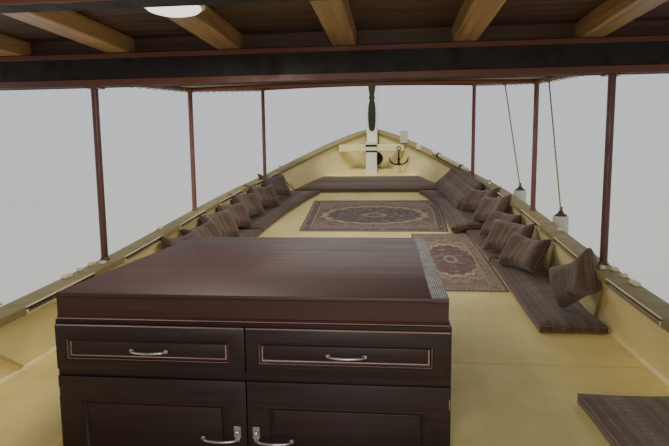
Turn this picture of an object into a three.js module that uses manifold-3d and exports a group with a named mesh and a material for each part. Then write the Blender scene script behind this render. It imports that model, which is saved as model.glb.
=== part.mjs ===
// A covered motor cruising dhow, about 20 m long, in millimetres.
// x runs to starboard, y forward and z up. The origin is on the waterline amidships.
import * as THREE from "three";
import { mergeVertices } from "three/addons/utils/BufferGeometryUtils.js";
import Module from "manifold-3d";

const wasm = await Module();
wasm.setup();

// Clearance between pieces that touch
const GAP = 0.3;

// Hull form
const DECK_Z = 950; // deck beside the counter, above the waterline
const HALF_BEAM = 2530; // at the deck edge
const FULLEST_Y = 2000;
const BOW_Y = 10100;
const STERN_Y = -9800;
const SIDING = 125; // half the thickness of stem, keel and deadwood
const SHEER_LOW_Y = -1500;
const SHEER_LOW = 520; // least height of the rail over the deck datum
const SHEER_AFT = 8.5; // rise of the sheer aft of its lowest point, per metre squared
const SHEER_WAIST = 13.8; // the same from there to the origin
const SHEER_SLOPE = 47.2; // forward of the origin, per metre
const SHEER_CURVE = 8.27; // forward of the origin, per metre squared
const BOW_LIFT = { from: 6.5, rise: 33.5 }; // added rise near the bow, in metres and per metre squared
const RUN_Y = -6500; // the underside rises aft of here
const RUN_RISE = 1150;
const KEEL_BOTTOM = -1280;
const FOREFOOT_SWEEP = 1750; // how far the stem's foot lies behind its head
const DECK_THICKNESS = 60;
const BULWARK_LEAN = 0.064; // share of the breadth that the rail lies inboard amidships
const BULWARK_FOOT = 110; // from the hull's side to the lining at the deck
const BULWARK_HEAD = 145; // thickness under the rail
const RAIL_WIDTH = 200;
const RAIL_THICKNESS = 60;
const RAIL_OVERHANG = 25;
const WALE_DEPTH = 70;
const SECTION_LEVELS = 9; // corners of a section from rabbet to deck edge
const STATIONS = [
  -9800, -9200, -8500, -7600, -6500, -5200, -3800, -2400, -1000, 500, 2000, 3200, 4400, 5500,
  6500, 7300, 8000, 8600, 9100, 9450, 9700, 9880, 10010, 10100,
];

// Stem, sternpost and steering gear
const STEM_DEPTH = 200;
const HEAD_BACK_Y = 9700;
const HEAD_TOP_Z = DECK_Z + 3850;
const APRON_BACK_Y = 9230; // apron between the deck and the stem head
const APRON_KNEE_Y = 9450; // where the deck under the apron changes slope
const APRON_RISE = 60; // over the bow beam
const BOW_BEAM = { y: [9270, 9410], bottom: 1765, top: 1925 }; // between the rails
const ANCHOR = { x: 620, y: 9205, crown: 1470, reach: 215, rod: 17 };
const ANCHOR_RING = { radius: 45, rod: 9 };
const PEG = { half: 8, top: 1860, reach: 20, ringDrop: 34 }; // on the bow beam, for the anchor's ring
const TRANSOM_THICKNESS = 80;
const POST_Y = [-10080, STERN_Y - TRANSOM_THICKNESS - GAP];
const RUDDER_AXIS_Y = -10160;
const STOCK_RADIUS = 65;
const PINTLE_RADIUS = 32;
const RUNNING_FIT = 0.95; // radial clearance of a pin in its hole
const GUDGEONS_Z = [-950, -150, 700];
const GUDGEON_HEIGHT = 90;
const GUDGEON_RADIUS = 62;
const APERTURE_Y = -9250;
const SHAFT_Z = -600;
const SHAFT_RADIUS = 35;
const PROPELLER_RADIUS = 380;
const PROPELLER_Y = -9520;

// Roof on its posts, heights above the deck datum
const POST_RADIUS = 33;
const FLANGE_RADIUS = 45;
const FLANGE_THICKNESS = 14;
const BEAM_BOTTOM = 2312;
const BEAM_TOP = 2612;
const BEAM_HALF_DEPTH = 70;
const BEAM_HALF_LENGTH = 3350;
const ROOF_PORTALS = [
  // y, x of the posts
  [1720, 2343],
  [-880, 2343],
  [-3480, 2300],
  [-6080, 2130],
  [-8680, 1810],
];
const JOIST_PITCH = 1050;
const JOIST_SHIFT = 40; // the joists lie a little to starboard of the centre
const JOIST_X = [-3, -2, -1, 0, 1, 2, 3].map((k) => k * JOIST_PITCH + JOIST_SHIFT);
const JOIST_WIDTH = 210;
const JOIST_TOP = 2762;
const PLANK_TOP = 2802;
const ROOF_Y = [-9100, 1830];
const ROOF_HALF_WIDTH = 3380;
const FASCIA = { thickness: 40, bottom: 2582, top: 2842 };
const ROOF_RAIL = { inset: 90, y: [-9000, 1700], height: 720, lower: 340, radius: 21, rows: 5 };
const AWNING_PAIRS = [
  // y, x of the posts, height of the side pipe
  [4260, 2355, 2593],
  [6880, 1929, 2910],
];
const AWNING_PIPE_RADIUS = 26;
const AWNING_CAMBER = 38;
const CLOTH = 12;

// Deckhouse, heights above the deck datum
const HOUSE_X = 1300;
const HOUSE_Y = [-8500, -6400];
const HOUSE_WALL = 60;
const HOUSE_TOP = BEAM_TOP - GAP;
const HOUSE_DOOR = { x0: 420, x1: 1120, bottom: 270, top: 2180 };
const SIDE_WINDOWS_Y = [
  [-8250, -7600],
  [-7350, -6700],
];
const SIDE_WINDOW_Z = [1200, 1950];
const FRONT_WINDOW = { x0: -1080, x1: 180, bottom: 1180, top: 1980 };
const AFT_WINDOW = { x0: -500, x1: 500, bottom: 1300, top: 1900 };
const DOOR_WINDOW = { x0: 560, x1: 980, bottom: 1300, top: 1950 };
const HELM = { x: -450, y: -6850, z: 1000, rim: 300, handle: 385 };
const CONSOLE = { x0: -800, x1: -100, y0: -6740, y1: -6480, top: 1060 };

// Serving counter and the cockpit well behind it, heights above the deck datum
const WELL = { x0: -1460, x1: 780, y0: -3900, y1: 200, depth: 250, wall: 60 };
const COUNTER = { x0: -1459, x1: 779, front: -440, back: 1800, top: 720 };
const SLAB = { x0: -1455, x1: 765, y0: -430, y1: 1800, top: 875 };
const STRIP = { width: 95, thickness: 4 }; // metal strip let into the slab's starboard edge
const FRONTS = [
  // name, x of its sides, x of the door handle
  ["left", -1454, -347, -502],
  ["right", -341, 774, -194],
];
const FRONT_THICKNESS = 22;
const HANDLE = { half: 100, reach: 38, radius: 7 };
const DRAWER_HANDLE_Z = 552;
const DOOR_HANDLE_Z = 50;
const DRAWER_Z = [432, 700];
const CUPBOARD_Z = [-225, 392];
const DRAWER_DEPTH = 460;
const CUPBOARD_DEPTH = 480;

// Soft furnishings on deck
const MATTRESS = { width: 620, thickness: 85 };
const MATTRESS_RUNS = [
  // name, side, y of its ends, distance of its outer edge from the lining's foot
  ["starboard_aft", 1, -2900, 270, 150],
  ["starboard_fore", 1, 1560, 7850, 40],
  ["port_fore", -1, 2950, 7850, 40],
];
const BOW_MATTRESS_Y = [7870, 8900];
const CUSHION = { thickness: 130, height: 430, lean: 90, clearance: 15 };
const CUSHION_RUNS = [
  // name, side, y of its ends
  ["starboard", 1, 1620, 7780],
  ["port", -1, 3010, 7780],
];
const CARPET_THICKNESS = 9;
const CARPETS = [
  // name, x of its sides, y of its ends
  ["near", 770, 1735, 2750, 5150],
  ["far", -1050, 1050, 5400, 7400],
];

const root = new THREE.Group();

// A named assembly in its own place
function group(name, parent = root, position = [0, 0, 0]) {
  const made = new THREE.Group();
  made.name = name;
  made.position.set(...position);
  parent.add(made);
  return made;
}

// Materials

const paint = (color, roughness, metalness = 0) =>
  new THREE.MeshStandardMaterial({ color, roughness, metalness });
const hullPaint = paint(0xe9e4d4, 0.55);
const keelPaint = paint(0x7a2f26, 0.8);
const creamPaint = paint(0xe6d9a8, 0.5);
const railPaint = paint(0xd6d2ac, 0.45);
const whitePaint = paint(0xf0efe8, 0.45);
const darkWood = paint(0x3c1712, 0.3);
const maroonPaint = paint(0x5a2226, 0.45);
const ochreWood = paint(0xb5793a, 0.5);
const steel = paint(0xa9abac, 0.3, 0.9);
const bronze = paint(0x9c7440, 0.35, 0.9);
const cloth = paint(0x7a5f4a, 0.9);
const mattressCloth = paint(0x5e3430, 0.95);
const carpetPile = paint(0x8a2c2a, 1);
const blackIron = paint(0x1c1c1e, 0.6, 0.3);
const engineGrey = paint(0x6a6f72, 0.5, 0.4);
const lampGlass = paint(0xfff6e0, 0.2);
const rubber = paint(0xdcd8cc, 0.7);
const paleWood = paint(0xd9cba0, 0.6);

// Closed meshes, and solids that are joined or cut

function solid(geometry) {
  const bare = geometry.index ? geometry.toNonIndexed() : geometry.clone();
  bare.deleteAttribute("normal");
  bare.deleteAttribute("uv");
  const merged = mergeVertices(bare, 1e-3);
  return new wasm.Manifold(
    new wasm.Mesh({
      numProp: 3,
      vertProperties: merged.attributes.position.array,
      triVerts: new Uint32Array(merged.index.array),
    }),
  );
}

function geometryOf(made) {
  const mesh = made.getMesh();
  const geometry = new THREE.BufferGeometry();
  geometry.setAttribute("position", new THREE.BufferAttribute(mesh.vertProperties, 3));
  geometry.setIndex(new THREE.BufferAttribute(mesh.triVerts, 1));
  const flat = geometry.toNonIndexed();
  flat.computeVertexNormals();
  return flat;
}

function joined(geometries) {
  return geometries.map(solid).reduce((sum, next) => sum.add(next));
}

function cut(body, tools) {
  return tools.map(solid).reduce((rest, tool) => rest.subtract(tool), body);
}

function node(parent, name, shape, material) {
  const geometry = shape.isBufferGeometry ? shape : geometryOf(shape);
  const mesh = new THREE.Mesh(geometry, material);
  mesh.name = name;
  parent.add(mesh);
}

// Basic shapes, each placed by its own corners or ends

function box(x0, x1, y0, y1, z0, z1) {
  const made = new THREE.BoxGeometry(x1 - x0, y1 - y0, z1 - z0);
  return made.translate((x0 + x1) / 2, (y0 + y1) / 2, (z0 + z1) / 2);
}

// A straight round bar from one point to another
function bar(from, to, radius, sides = 12, endRadius = radius) {
  const start = new THREE.Vector3(...from);
  const run = new THREE.Vector3(...to).sub(start);
  const made = new THREE.CylinderGeometry(endRadius, radius, run.length(), sides);
  made.translate(0, run.length() / 2, 0);
  const turn = new THREE.Quaternion().setFromUnitVectors(
    new THREE.Vector3(0, 1, 0),
    run.clone().normalize(),
  );
  return made.applyQuaternion(turn).translate(...from);
}

// A round rod bent along a curve through the points
function bentRod(points, radius, steps, sides = 8) {
  const path = new THREE.CatmullRomCurve3(points.map((p) => new THREE.Vector3(...p)));
  const section = new THREE.Shape().absarc(0, 0, radius, 0, 2 * Math.PI);
  return new THREE.ExtrudeGeometry(section, {
    steps,
    extrudePath: path,
    curveSegments: sides,
  });
}

// An outline of [y, z] points in the centre plane, given a thickness in x
function slabAcross(outline, x0, x1) {
  const shape = new THREE.Shape(outline.map(([y, z]) => new THREE.Vector2(y, z)));
  const made = new THREE.ExtrudeGeometry(shape, { depth: x1 - x0, bevelEnabled: false });
  const axes = new THREE.Matrix4().makeBasis(
    new THREE.Vector3(0, 1, 0),
    new THREE.Vector3(0, 0, 1),
    new THREE.Vector3(1, 0, 0),
  );
  return made.applyMatrix4(axes).translate(x0, 0, 0);
}

// A solid through rings of [x, y, z] corners. Rings run aft to forward. Each starts at a
// bottom corner, and its first half faces its second half, corner for corner, in reverse.
function loft(rings) {
  const count = rings[0].length;
  const positions = rings.flat(2);
  const faces = [];
  for (let i = 0; i + 1 < rings.length; i++) {
    for (let j = 0; j < count; j++) {
      const next = (j + 1) % count;
      const a = i * count + j;
      const b = i * count + next;
      // Each face folds from its low corner aft to its high corner forward, so that two
      // skins with the same corners fold alike.
      if (rings[i][next][2] >= rings[i][j][2]) {
        faces.push(a, b, b + count, a, b + count, a + count);
      } else {
        faces.push(a, b, a + count, b, b + count, a + count);
      }
    }
  }
  const last = (rings.length - 1) * count;
  for (let j = 0; j < count / 2 - 1; j++) {
    const [a, b, c, d] = [j, j + 1, count - 2 - j, count - 1 - j];
    faces.push(a, c, b, a, d, c);
    faces.push(last + a, last + b, last + c, last + a, last + c, last + d);
  }
  const geometry = new THREE.BufferGeometry();
  geometry.setAttribute("position", new THREE.Float32BufferAttribute(positions, 3));
  geometry.setIndex(faces);
  const flat = geometry.toNonIndexed();
  flat.computeVertexNormals();
  return flat;
}

// Hull form, as functions of y

function halfBeam(y) {
  if (y > FULLEST_Y) {
    const u = (y - FULLEST_Y) / (BOW_Y - FULLEST_Y);
    return SIDING + (HALF_BEAM - SIDING) * Math.max(0, 1 - u ** 3) ** 0.8;
  }
  const v = Math.max(0, (-1000 - y) / (-1000 - STERN_Y));
  return HALF_BEAM * (1 - 0.3 * v ** 2.2);
}

// How much a width measured square to the side grows along x
function slant(y) {
  const step = 40;
  const slope = (halfBeam(Math.min(y + step, BOW_Y)) - halfBeam(y - step)) / (2 * step);
  return Math.min(Math.hypot(1, slope), 1.75);
}

function railZ(y) {
  const m = y / 1000;
  const low = SHEER_LOW_Y / 1000;
  if (m < low) return DECK_Z + SHEER_LOW + SHEER_AFT * (m - low) ** 2;
  const waist = DECK_Z + SHEER_LOW + SHEER_WAIST * (Math.min(m, 0) - low) ** 2;
  const forward = Math.max(0, m);
  const bowLift = BOW_LIFT.rise * Math.max(0, m - BOW_LIFT.from) ** 2;
  return waist + SHEER_SLOPE * forward + SHEER_CURVE * forward ** 2 + bowLift;
}

function deckZ(y) {
  const forward = Math.max(0, y / 1000);
  const aft = Math.min(0, (y - SHEER_LOW_Y) / 1000);
  return DECK_Z + 14.6 * forward ** 2 + 6.5 * aft ** 2;
}

function rabbetZ(y) {
  const rise = Math.max(0, (RUN_Y - y) / (RUN_Y - STERN_Y)) ** 1.6;
  return -1000 + 0.0065 * Math.max(y, RUN_Y) + RUN_RISE * rise;
}

// A form's value between two stations, where its faces run straight
function between(form, y) {
  const next = Math.max(1, STATIONS.findIndex((station) => station >= y));
  const y0 = STATIONS[next - 1];
  const y1 = STATIONS[next];
  return form(y0) + ((form(y1) - form(y0)) * (y - y0)) / (y1 - y0);
}
const deckAt = (y) => between(deckZ, y);
const railAt = (y) => between(railZ, y);

// Half-breadth of the hull at a height
function breadthAt(y, z) {
  const forward = Math.max(0, (y - FULLEST_Y) / (BOW_Y - FULLEST_Y)) ** 2;
  const aft = Math.max(0, (-1000 - y) / (-1000 - STERN_Y));
  const fullness = 3 - 1.7 * forward - 0.6 * aft;
  const bilge = 0.7 + 0.3 * forward + 0.2 * aft;
  const t = Math.max(0, (z - rabbetZ(y)) / (railZ(y) - rabbetZ(y)));
  return SIDING + (halfBeam(y) - SIDING) * (1 - (1 - Math.min(t, 1)) ** fullness) ** bilge;
}

// Half-breadth of the bulwark under the rail: it leans inboard, less so towards the bow
function railBeam(y) {
  const forward = Math.max(0, (y - FULLEST_Y) / (BOW_Y - FULLEST_Y));
  return SIDING + (halfBeam(y) - SIDING) * (1 - BULWARK_LEAN * (1 - forward));
}

// Inner face of the bulwark at the deck, and under the rail
function innerX(y) {
  return Math.max(halfBeam(y) - BULWARK_FOOT * slant(y), SIDING + GAP);
}
function innerHeadX(y) {
  return Math.max(railBeam(y) - BULWARK_HEAD * slant(y), SIDING + GAP);
}

// Edges of the cap rail
function railOuterX(y) {
  return railBeam(y) + RAIL_OVERHANG;
}
function railInnerX(y) {
  return Math.max(railOuterX(y) - RAIL_WIDTH * slant(y), SIDING + GAP);
}

// Outer face of the bulwark at a height
function outerX(y, z) {
  const foot = deckZ(y) - DECK_THICKNESS;
  const head = railZ(y) - RAIL_THICKNESS;
  const footX = Math.max(breadthAt(y, foot), innerX(y) + 0.2);
  const headX = Math.max(railBeam(y), innerHeadX(y) + 0.2);
  return footX + ((headX - footX) * (z - foot)) / (head - foot);
}

// How far the forefoot draws a point of the section aft
function sweep(y, level) {
  const reach = Math.max(0, (y - 4000) / (BOW_Y - 4000)) ** 2;
  return FOREFOOT_SWEEP * reach * (1 - level) ** 2.6;
}

// Points of one side of a section, from the rabbet up to the deck edge
function sectionSide(y, side) {
  const bottom = rabbetZ(y);
  const top = deckZ(y) - DECK_THICKNESS;
  return Array.from({ length: SECTION_LEVELS }, (_, k) => {
    const level = k / (SECTION_LEVELS - 1);
    const z = bottom + (top - bottom) * level;
    return [side * breadthAt(y, z), y - sweep(y, level), z];
  });
}

// Hull and backbone

const hullGroup = group("hull_and_backbone");
const hullRings = STATIONS.map((y) => {
  const port = sectionSide(y, -1);
  const starboard = sectionSide(y, 1).reverse();
  return [...port, ...starboard];
});
const engineWell = box(-520, 520, -6400, -4800, -520, 1200);
const cockpitPocket = box(
  WELL.x0 - WELL.wall - GAP,
  WELL.x1 + WELL.wall + GAP,
  WELL.y0 - WELL.wall - GAP,
  WELL.y1 + WELL.wall + GAP,
  DECK_Z - WELL.depth - WELL.wall - GAP,
  DECK_Z + 200,
);
const wholeHull = cut(solid(loft(hullRings)), [engineWell, cockpitPocket]);
// The hull is in two at the level of the cockpit's underside, and above it in two at the cockpit's aft bulkhead
const splitZ = DECK_Z - WELL.depth - WELL.wall - GAP;
const bulkheadY = WELL.y0 - WELL.wall - GAP;
const upperHalf = box(-3000, 3000, -12000, 12000, splitZ, 4000);
const lowerHalf = box(-3000, 3000, -12000, 12000, -2000, splitZ + GAP);
const aftHalf = box(-3000, 3000, -12000, bulkheadY + GAP, -2000, 4000);
const foreHalf = box(-3000, 3000, bulkheadY, 12000, -2000, 4000);
node(hullGroup, "hull", cut(wholeHull, [upperHalf]), hullPaint);
node(hullGroup, "hull_topsides", cut(wholeHull, [lowerHalf, aftHalf]), hullPaint);
node(hullGroup, "hull_topsides_aft", cut(wholeHull, [lowerHalf, foreHalf]), hullPaint);
node(hullGroup, "engine_block", box(-350, 350, -6200, -5000, -520 + GAP, 330), engineGrey);

const keelStations = STATIONS.filter((y) => y > RUN_Y && y < 8000);
const keelTop = keelStations.map((y) => [y - sweep(y, 0), rabbetZ(y) - GAP]);
const footY = BOW_Y - FOREFOOT_SWEEP;
const keelOutline = [
  [POST_Y[0], KEEL_BOTTOM],
  [footY - 150, KEEL_BOTTOM],
  [footY - 150, rabbetZ(BOW_Y) - GAP - 20],
  ...keelTop.reverse(),
  [RUN_Y, rabbetZ(RUN_Y) - GAP],
  [POST_Y[0], rabbetZ(RUN_Y) - GAP],
];
node(hullGroup, "keel", slabAcross(keelOutline, -SIDING, SIDING), keelPaint);

const stemBack = sectionSide(BOW_Y, 1).map(([, y, z]) => [y + GAP, z]);
const stemTopZ = stemBack[stemBack.length - 1][1];
const stemOutline = [
  [footY - 149, KEEL_BOTTOM],
  [footY + 60, KEEL_BOTTOM + 10],
  ...stemBack.slice(1).map(([y, z], k) => [y + STEM_DEPTH, z - 60 + 8 * k]),
  [BOW_Y + STEM_DEPTH, stemTopZ],
  ...stemBack.reverse(),
  [footY - 149, rabbetZ(BOW_Y) - 25],
];
node(hullGroup, "stem", slabAcross(stemOutline, -SIDING, SIDING), whitePaint);

const headOutline = [
  [HEAD_BACK_Y + GAP, stemTopZ + GAP],
  [BOW_Y + STEM_DEPTH, stemTopZ + GAP],
  [BOW_Y + STEM_DEPTH + 30, HEAD_TOP_Z - 350],
  [BOW_Y + STEM_DEPTH - 60, HEAD_TOP_Z],
  [HEAD_BACK_Y + 160, HEAD_TOP_Z],
  [HEAD_BACK_Y + GAP, HEAD_TOP_Z - 260],
];
const apronTop = DECK_Z + BOW_BEAM.top + APRON_RISE;
const apronOutline = [
  [APRON_BACK_Y, between(deckZ, APRON_BACK_Y) + GAP],
  [APRON_KNEE_Y, between(deckZ, APRON_KNEE_Y) + GAP],
  [HEAD_BACK_Y, between(deckZ, HEAD_BACK_Y) + GAP],
  [HEAD_BACK_Y, stemTopZ + GAP],
  [HEAD_BACK_Y + 20, stemTopZ + GAP],
  [HEAD_BACK_Y + 20, apronTop],
  [APRON_BACK_Y, apronTop],
];
const beamZ = [DECK_Z + BOW_BEAM.bottom, DECK_Z + BOW_BEAM.top];
const beamEnds = BOW_BEAM.y.map((y) => [y, between(railInnerX, y) - 1]);
const bowBeam = loft(
  beamEnds.map(([y, x]) => [
    [-x, y, beamZ[0]],
    [-x, y, beamZ[1]],
    [x, y, beamZ[1]],
    [x, y, beamZ[0]],
  ]),
);
const peg = box(
  ANCHOR.x - PEG.half,
  ANCHOR.x + PEG.half,
  ANCHOR.y - PEG.reach,
  BOW_BEAM.y[0] + 10,
  DECK_Z + PEG.top - 2 * PEG.half,
  DECK_Z + PEG.top,
);
const head = joined([
  slabAcross(headOutline, -SIDING, SIDING),
  slabAcross(apronOutline, -SIDING, SIDING),
  bowBeam,
  peg,
]);
node(hullGroup, "stem_head", head, whitePaint);

const deadwoodStations = STATIONS.filter((y) => y < RUN_Y && y > APERTURE_Y);
const deadwoodTop = deadwoodStations.map((y) => [y, rabbetZ(y) - GAP]);
const deadwoodOutline = [
  [APERTURE_Y, rabbetZ(RUN_Y) + GAP],
  [RUN_Y - 100, rabbetZ(RUN_Y) + GAP],
  [RUN_Y - 100, rabbetZ(RUN_Y) + 15],
  ...deadwoodTop.reverse(),
  [APERTURE_Y, between(rabbetZ, APERTURE_Y) - GAP],
];
const shaftBoss = bar([0, APERTURE_Y + 60, SHAFT_Z], [0, APERTURE_Y - 90, SHAFT_Z], 85, 16);
const shaftHole = bar(
  [0, APERTURE_Y + 30, SHAFT_Z],
  [0, APERTURE_Y - 100, SHAFT_Z],
  SHAFT_RADIUS + RUNNING_FIT,
  16,
);
const deadwood = joined([slabAcross(deadwoodOutline, -SIDING, SIDING), shaftBoss]);
node(hullGroup, "deadwood", cut(deadwood, [shaftHole]), keelPaint);

const postTop = deckZ(STERN_Y) + 100;
const gudgeons = GUDGEONS_Z.map((z) =>
  joined([
    bar([0, RUDDER_AXIS_Y, z], [0, RUDDER_AXIS_Y, z + GUDGEON_HEIGHT], GUDGEON_RADIUS, 16),
    box(-45, 45, RUDDER_AXIS_Y, POST_Y[0] + 20, z, z + GUDGEON_HEIGHT),
  ]),
);
const sternTimber = solid(box(-90, 90, ...POST_Y, rabbetZ(RUN_Y) + GAP, postTop));
const pinHole = bar(
  [0, RUDDER_AXIS_Y, -1100],
  [0, RUDDER_AXIS_Y, 1000],
  PINTLE_RADIUS + RUNNING_FIT,
  16,
);
node(
  hullGroup,
  "sternpost",
  cut(gudgeons.reduce((sum, next) => sum.add(next), sternTimber), [pinHole]),
  keelPaint,
);

const transomTop = railZ(STERN_Y) - RAIL_THICKNESS - GAP;
const transomSide = (side) => [
  ...sectionSide(STERN_Y, side).map(([x, , z]) => [x, z]),
  [side * railBeam(STERN_Y), transomTop],
];
const transomOutline = [...transomSide(1), ...transomSide(-1).reverse()];
const transomRings = [STERN_Y - TRANSOM_THICKNESS, STERN_Y - GAP].map((y) =>
  transomOutline.map(([x, z]) => [x, y, z]).reverse(),
);
node(hullGroup, "transom", loft(transomRings), hullPaint);

// Rudder and propeller, each about its own axis

const stockTop = 1500;
const bladeOutline = [
  // distance behind the axis, height
  [0, -1230],
  [0, 250],
  [-320, 250],
  [-700, 20],
  [-740, -1100],
  [-620, -1230],
];
const rudderBody = joined([
  bar([0, 0, -1230], [0, 0, stockTop], STOCK_RADIUS, 16),
  slabAcross(bladeOutline, -38, 38),
  box(-30, 30, -460, 0, stockTop - 140, stockTop - 40),
]);
const gudgeonRooms = GUDGEONS_Z.map((z) =>
  bar([0, 0, z - 6], [0, 0, z + GUDGEON_HEIGHT + 6], GUDGEON_RADIUS + 10, 16),
);
const pintle = bar([0, 0, -1220], [0, 0, 900], PINTLE_RADIUS, 16);
const rudderPlace = group("rudder_on_its_axis", hullGroup, [0, RUDDER_AXIS_Y, 0]);
node(rudderPlace, "rudder", cut(rudderBody, gudgeonRooms).add(solid(pintle)), keelPaint);

function propellerBlade(turn) {
  const outline = new THREE.Shape();
  outline.moveTo(-40, 40);
  outline.quadraticCurveTo(-150, 230, -70, PROPELLER_RADIUS - 20);
  outline.quadraticCurveTo(0, PROPELLER_RADIUS + 5, 70, PROPELLER_RADIUS - 40);
  outline.quadraticCurveTo(130, 200, 40, 40);
  const blade = new THREE.ExtrudeGeometry(outline, {
    depth: 16,
    bevelEnabled: false,
    curveSegments: 5,
  });
  blade.translate(0, 0, -8).rotateY(0.55).rotateX(Math.PI / 2);
  return blade.rotateY(turn);
}
const hub = bar([0, 75, 0], [0, -90, 0], 78, 16, 55);
const shaft = bar([0, APERTURE_Y + 20 - PROPELLER_Y, 0], [0, 0, 0], SHAFT_RADIUS, 16);
const blades = [0, 1, 2].map((k) => propellerBlade((k * 2 * Math.PI) / 3));
const propellerPlace = group("propeller_on_its_shaft", hullGroup, [0, PROPELLER_Y, SHAFT_Z]);
node(propellerPlace, "propeller", joined([hub, shaft, ...blades]), bronze);

// Deck, bulwarks, rails and wales

const deckGroup = group("deck_and_bulwarks");
const deckStations = STATIONS.filter((y) => y <= HEAD_BACK_Y);
const deckRings = deckStations.map((y) => {
  const x = innerX(y) - GAP;
  const top = deckZ(y);
  const bottom = top - DECK_THICKNESS + GAP;
  return [
    [-x, y, bottom],
    [-x, y, top],
    [x, y, top],
    [x, y, bottom],
  ];
});
const wellHole = box(WELL.x0, WELL.x1, WELL.y0, WELL.y1, DECK_Z - 200, DECK_Z + 200);
node(deckGroup, "deck", cut(solid(loft(deckRings)), [wellHole]), creamPaint);

const wellFootprint = [
  WELL.x0 - WELL.wall,
  WELL.x1 + WELL.wall,
  WELL.y0 - WELL.wall,
  WELL.y1 + WELL.wall,
];
const wellFloorZ = DECK_Z - WELL.depth;
const wellFloor = box(...wellFootprint, wellFloorZ - WELL.wall, wellFloorZ);
node(deckGroup, "cockpit_floor", wellFloor, creamPaint);
const wellSides = box(...wellFootprint, wellFloorZ + GAP, DECK_Z - DECK_THICKNESS);
const wellRoom = box(WELL.x0, WELL.x1, WELL.y0, WELL.y1, wellFloorZ, DECK_Z + 10);
node(deckGroup, "cockpit_walls", cut(solid(wellSides), [wellRoom]), creamPaint);

// A ring on one side of the boat, from corners given for starboard
const onSide = (side, corners) => {
  const ring = corners.map(([x, y, z]) => [side * x, y, z]);
  return side > 0 ? ring : ring.reverse();
};
const SIDES = [
  ["port", -1],
  ["starboard", 1],
];
SIDES.forEach(([name, side]) => {
  const bulwark = STATIONS.map((y) => {
    const bottom = deckZ(y) - DECK_THICKNESS + GAP;
    const level = deckZ(y);
    const top = railZ(y) - RAIL_THICKNESS - GAP;
    return onSide(side, [
      [innerX(y), y, bottom],
      [innerX(y), y, level],
      [innerHeadX(y), y, top],
      [outerX(y, top), y, top],
      [outerX(y, level), y, level],
      [outerX(y, bottom), y, bottom],
    ]);
  });
  node(deckGroup, "bulwark_" + name, loft(bulwark), creamPaint);

  const rail = STATIONS.map((y) =>
    onSide(side, [
      [railInnerX(y), y, railZ(y) - RAIL_THICKNESS],
      [railInnerX(y), y, railZ(y)],
      [railOuterX(y), y, railZ(y)],
      [railOuterX(y), y, railZ(y) - RAIL_THICKNESS],
    ]),
  );
  node(deckGroup, "cap_rail_" + name, loft(rail), railPaint);

  const wale = STATIONS.map((y) => {
    const [top, lower] = sectionSide(y, 1).reverse();
    return onSide(side, [
      [lower[0] + GAP, lower[1], lower[2]],
      [top[0] + GAP, top[1], top[2]],
      [top[0] + WALE_DEPTH, top[1], top[2]],
      [lower[0] + WALE_DEPTH, lower[1], lower[2]],
    ]);
  });
  node(deckGroup, "wale_" + name, loft(wale), maroonPaint);
});

// Roof on its portals

const roofGroup = group("roof");
// The room under a form, which trims the foot of what stands on it
const roomUnder = (form) =>
  loft(
    STATIONS.map((y) => [
      [-HALF_BEAM, y, form(y) - 600],
      [-HALF_BEAM, y, form(y) + GAP],
      [HALF_BEAM, y, form(y) + GAP],
      [HALF_BEAM, y, form(y) - 600],
    ]),
  );
const underRail = roomUnder(railZ);
const underDeck = roomUnder(deckZ);

// A pair of posts with flanges, which stand on the slope of the rail
function postPair(y, x, top) {
  const foot = railAt(y - FLANGE_RADIUS) - 20;
  const flangeTop = railAt(y + FLANGE_RADIUS) + FLANGE_THICKNESS;
  return [-x, x].flatMap((px) => [
    bar([px, y, foot], [px, y, top], POST_RADIUS, 12),
    bar([px, y, foot], [px, y, flangeTop], FLANGE_RADIUS, 16),
  ]);
}

ROOF_PORTALS.forEach(([y, x], k) => {
  const beam = box(
    -BEAM_HALF_LENGTH,
    BEAM_HALF_LENGTH,
    y - BEAM_HALF_DEPTH,
    y + BEAM_HALF_DEPTH,
    DECK_Z + BEAM_BOTTOM,
    DECK_Z + BEAM_TOP - GAP,
  );
  const portal = joined([beam, ...postPair(y, x, DECK_Z + BEAM_BOTTOM + 20)]);
  node(roofGroup, "roof_portal_" + (k + 1), cut(portal, [underRail]), maroonPaint);
});

const joists = JOIST_X.map((x) =>
  box(
    x - JOIST_WIDTH / 2,
    x + JOIST_WIDTH / 2,
    ...ROOF_Y,
    DECK_Z + BEAM_TOP,
    DECK_Z + JOIST_TOP + 5,
  ),
);
const roofPlanks = box(
  -ROOF_HALF_WIDTH,
  ROOF_HALF_WIDTH,
  ...ROOF_Y,
  DECK_Z + JOIST_TOP,
  DECK_Z + PLANK_TOP,
);
const fascias = [-1, 1].map((side) => {
  const x = [side * ROOF_HALF_WIDTH, side * (ROOF_HALF_WIDTH + FASCIA.thickness)];
  x.sort((a, b) => a - b);
  return box(x[0] - 5, x[1] + 5, ...ROOF_Y, DECK_Z + FASCIA.bottom, DECK_Z + FASCIA.top);
});
const endBoards = [
  [ROOF_Y[0], ROOF_Y[0] + FASCIA.thickness],
  [ROOF_Y[1] - FASCIA.thickness, ROOF_Y[1]],
].map((y) =>
  box(-ROOF_HALF_WIDTH, ROOF_HALF_WIDTH, ...y, DECK_Z + BEAM_TOP, DECK_Z + FASCIA.top),
);
const roofForms = [roofPlanks, ...joists, ...fascias, ...endBoards];
node(roofGroup, "roof_deck", joined(roofForms), ochreWood);

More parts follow.
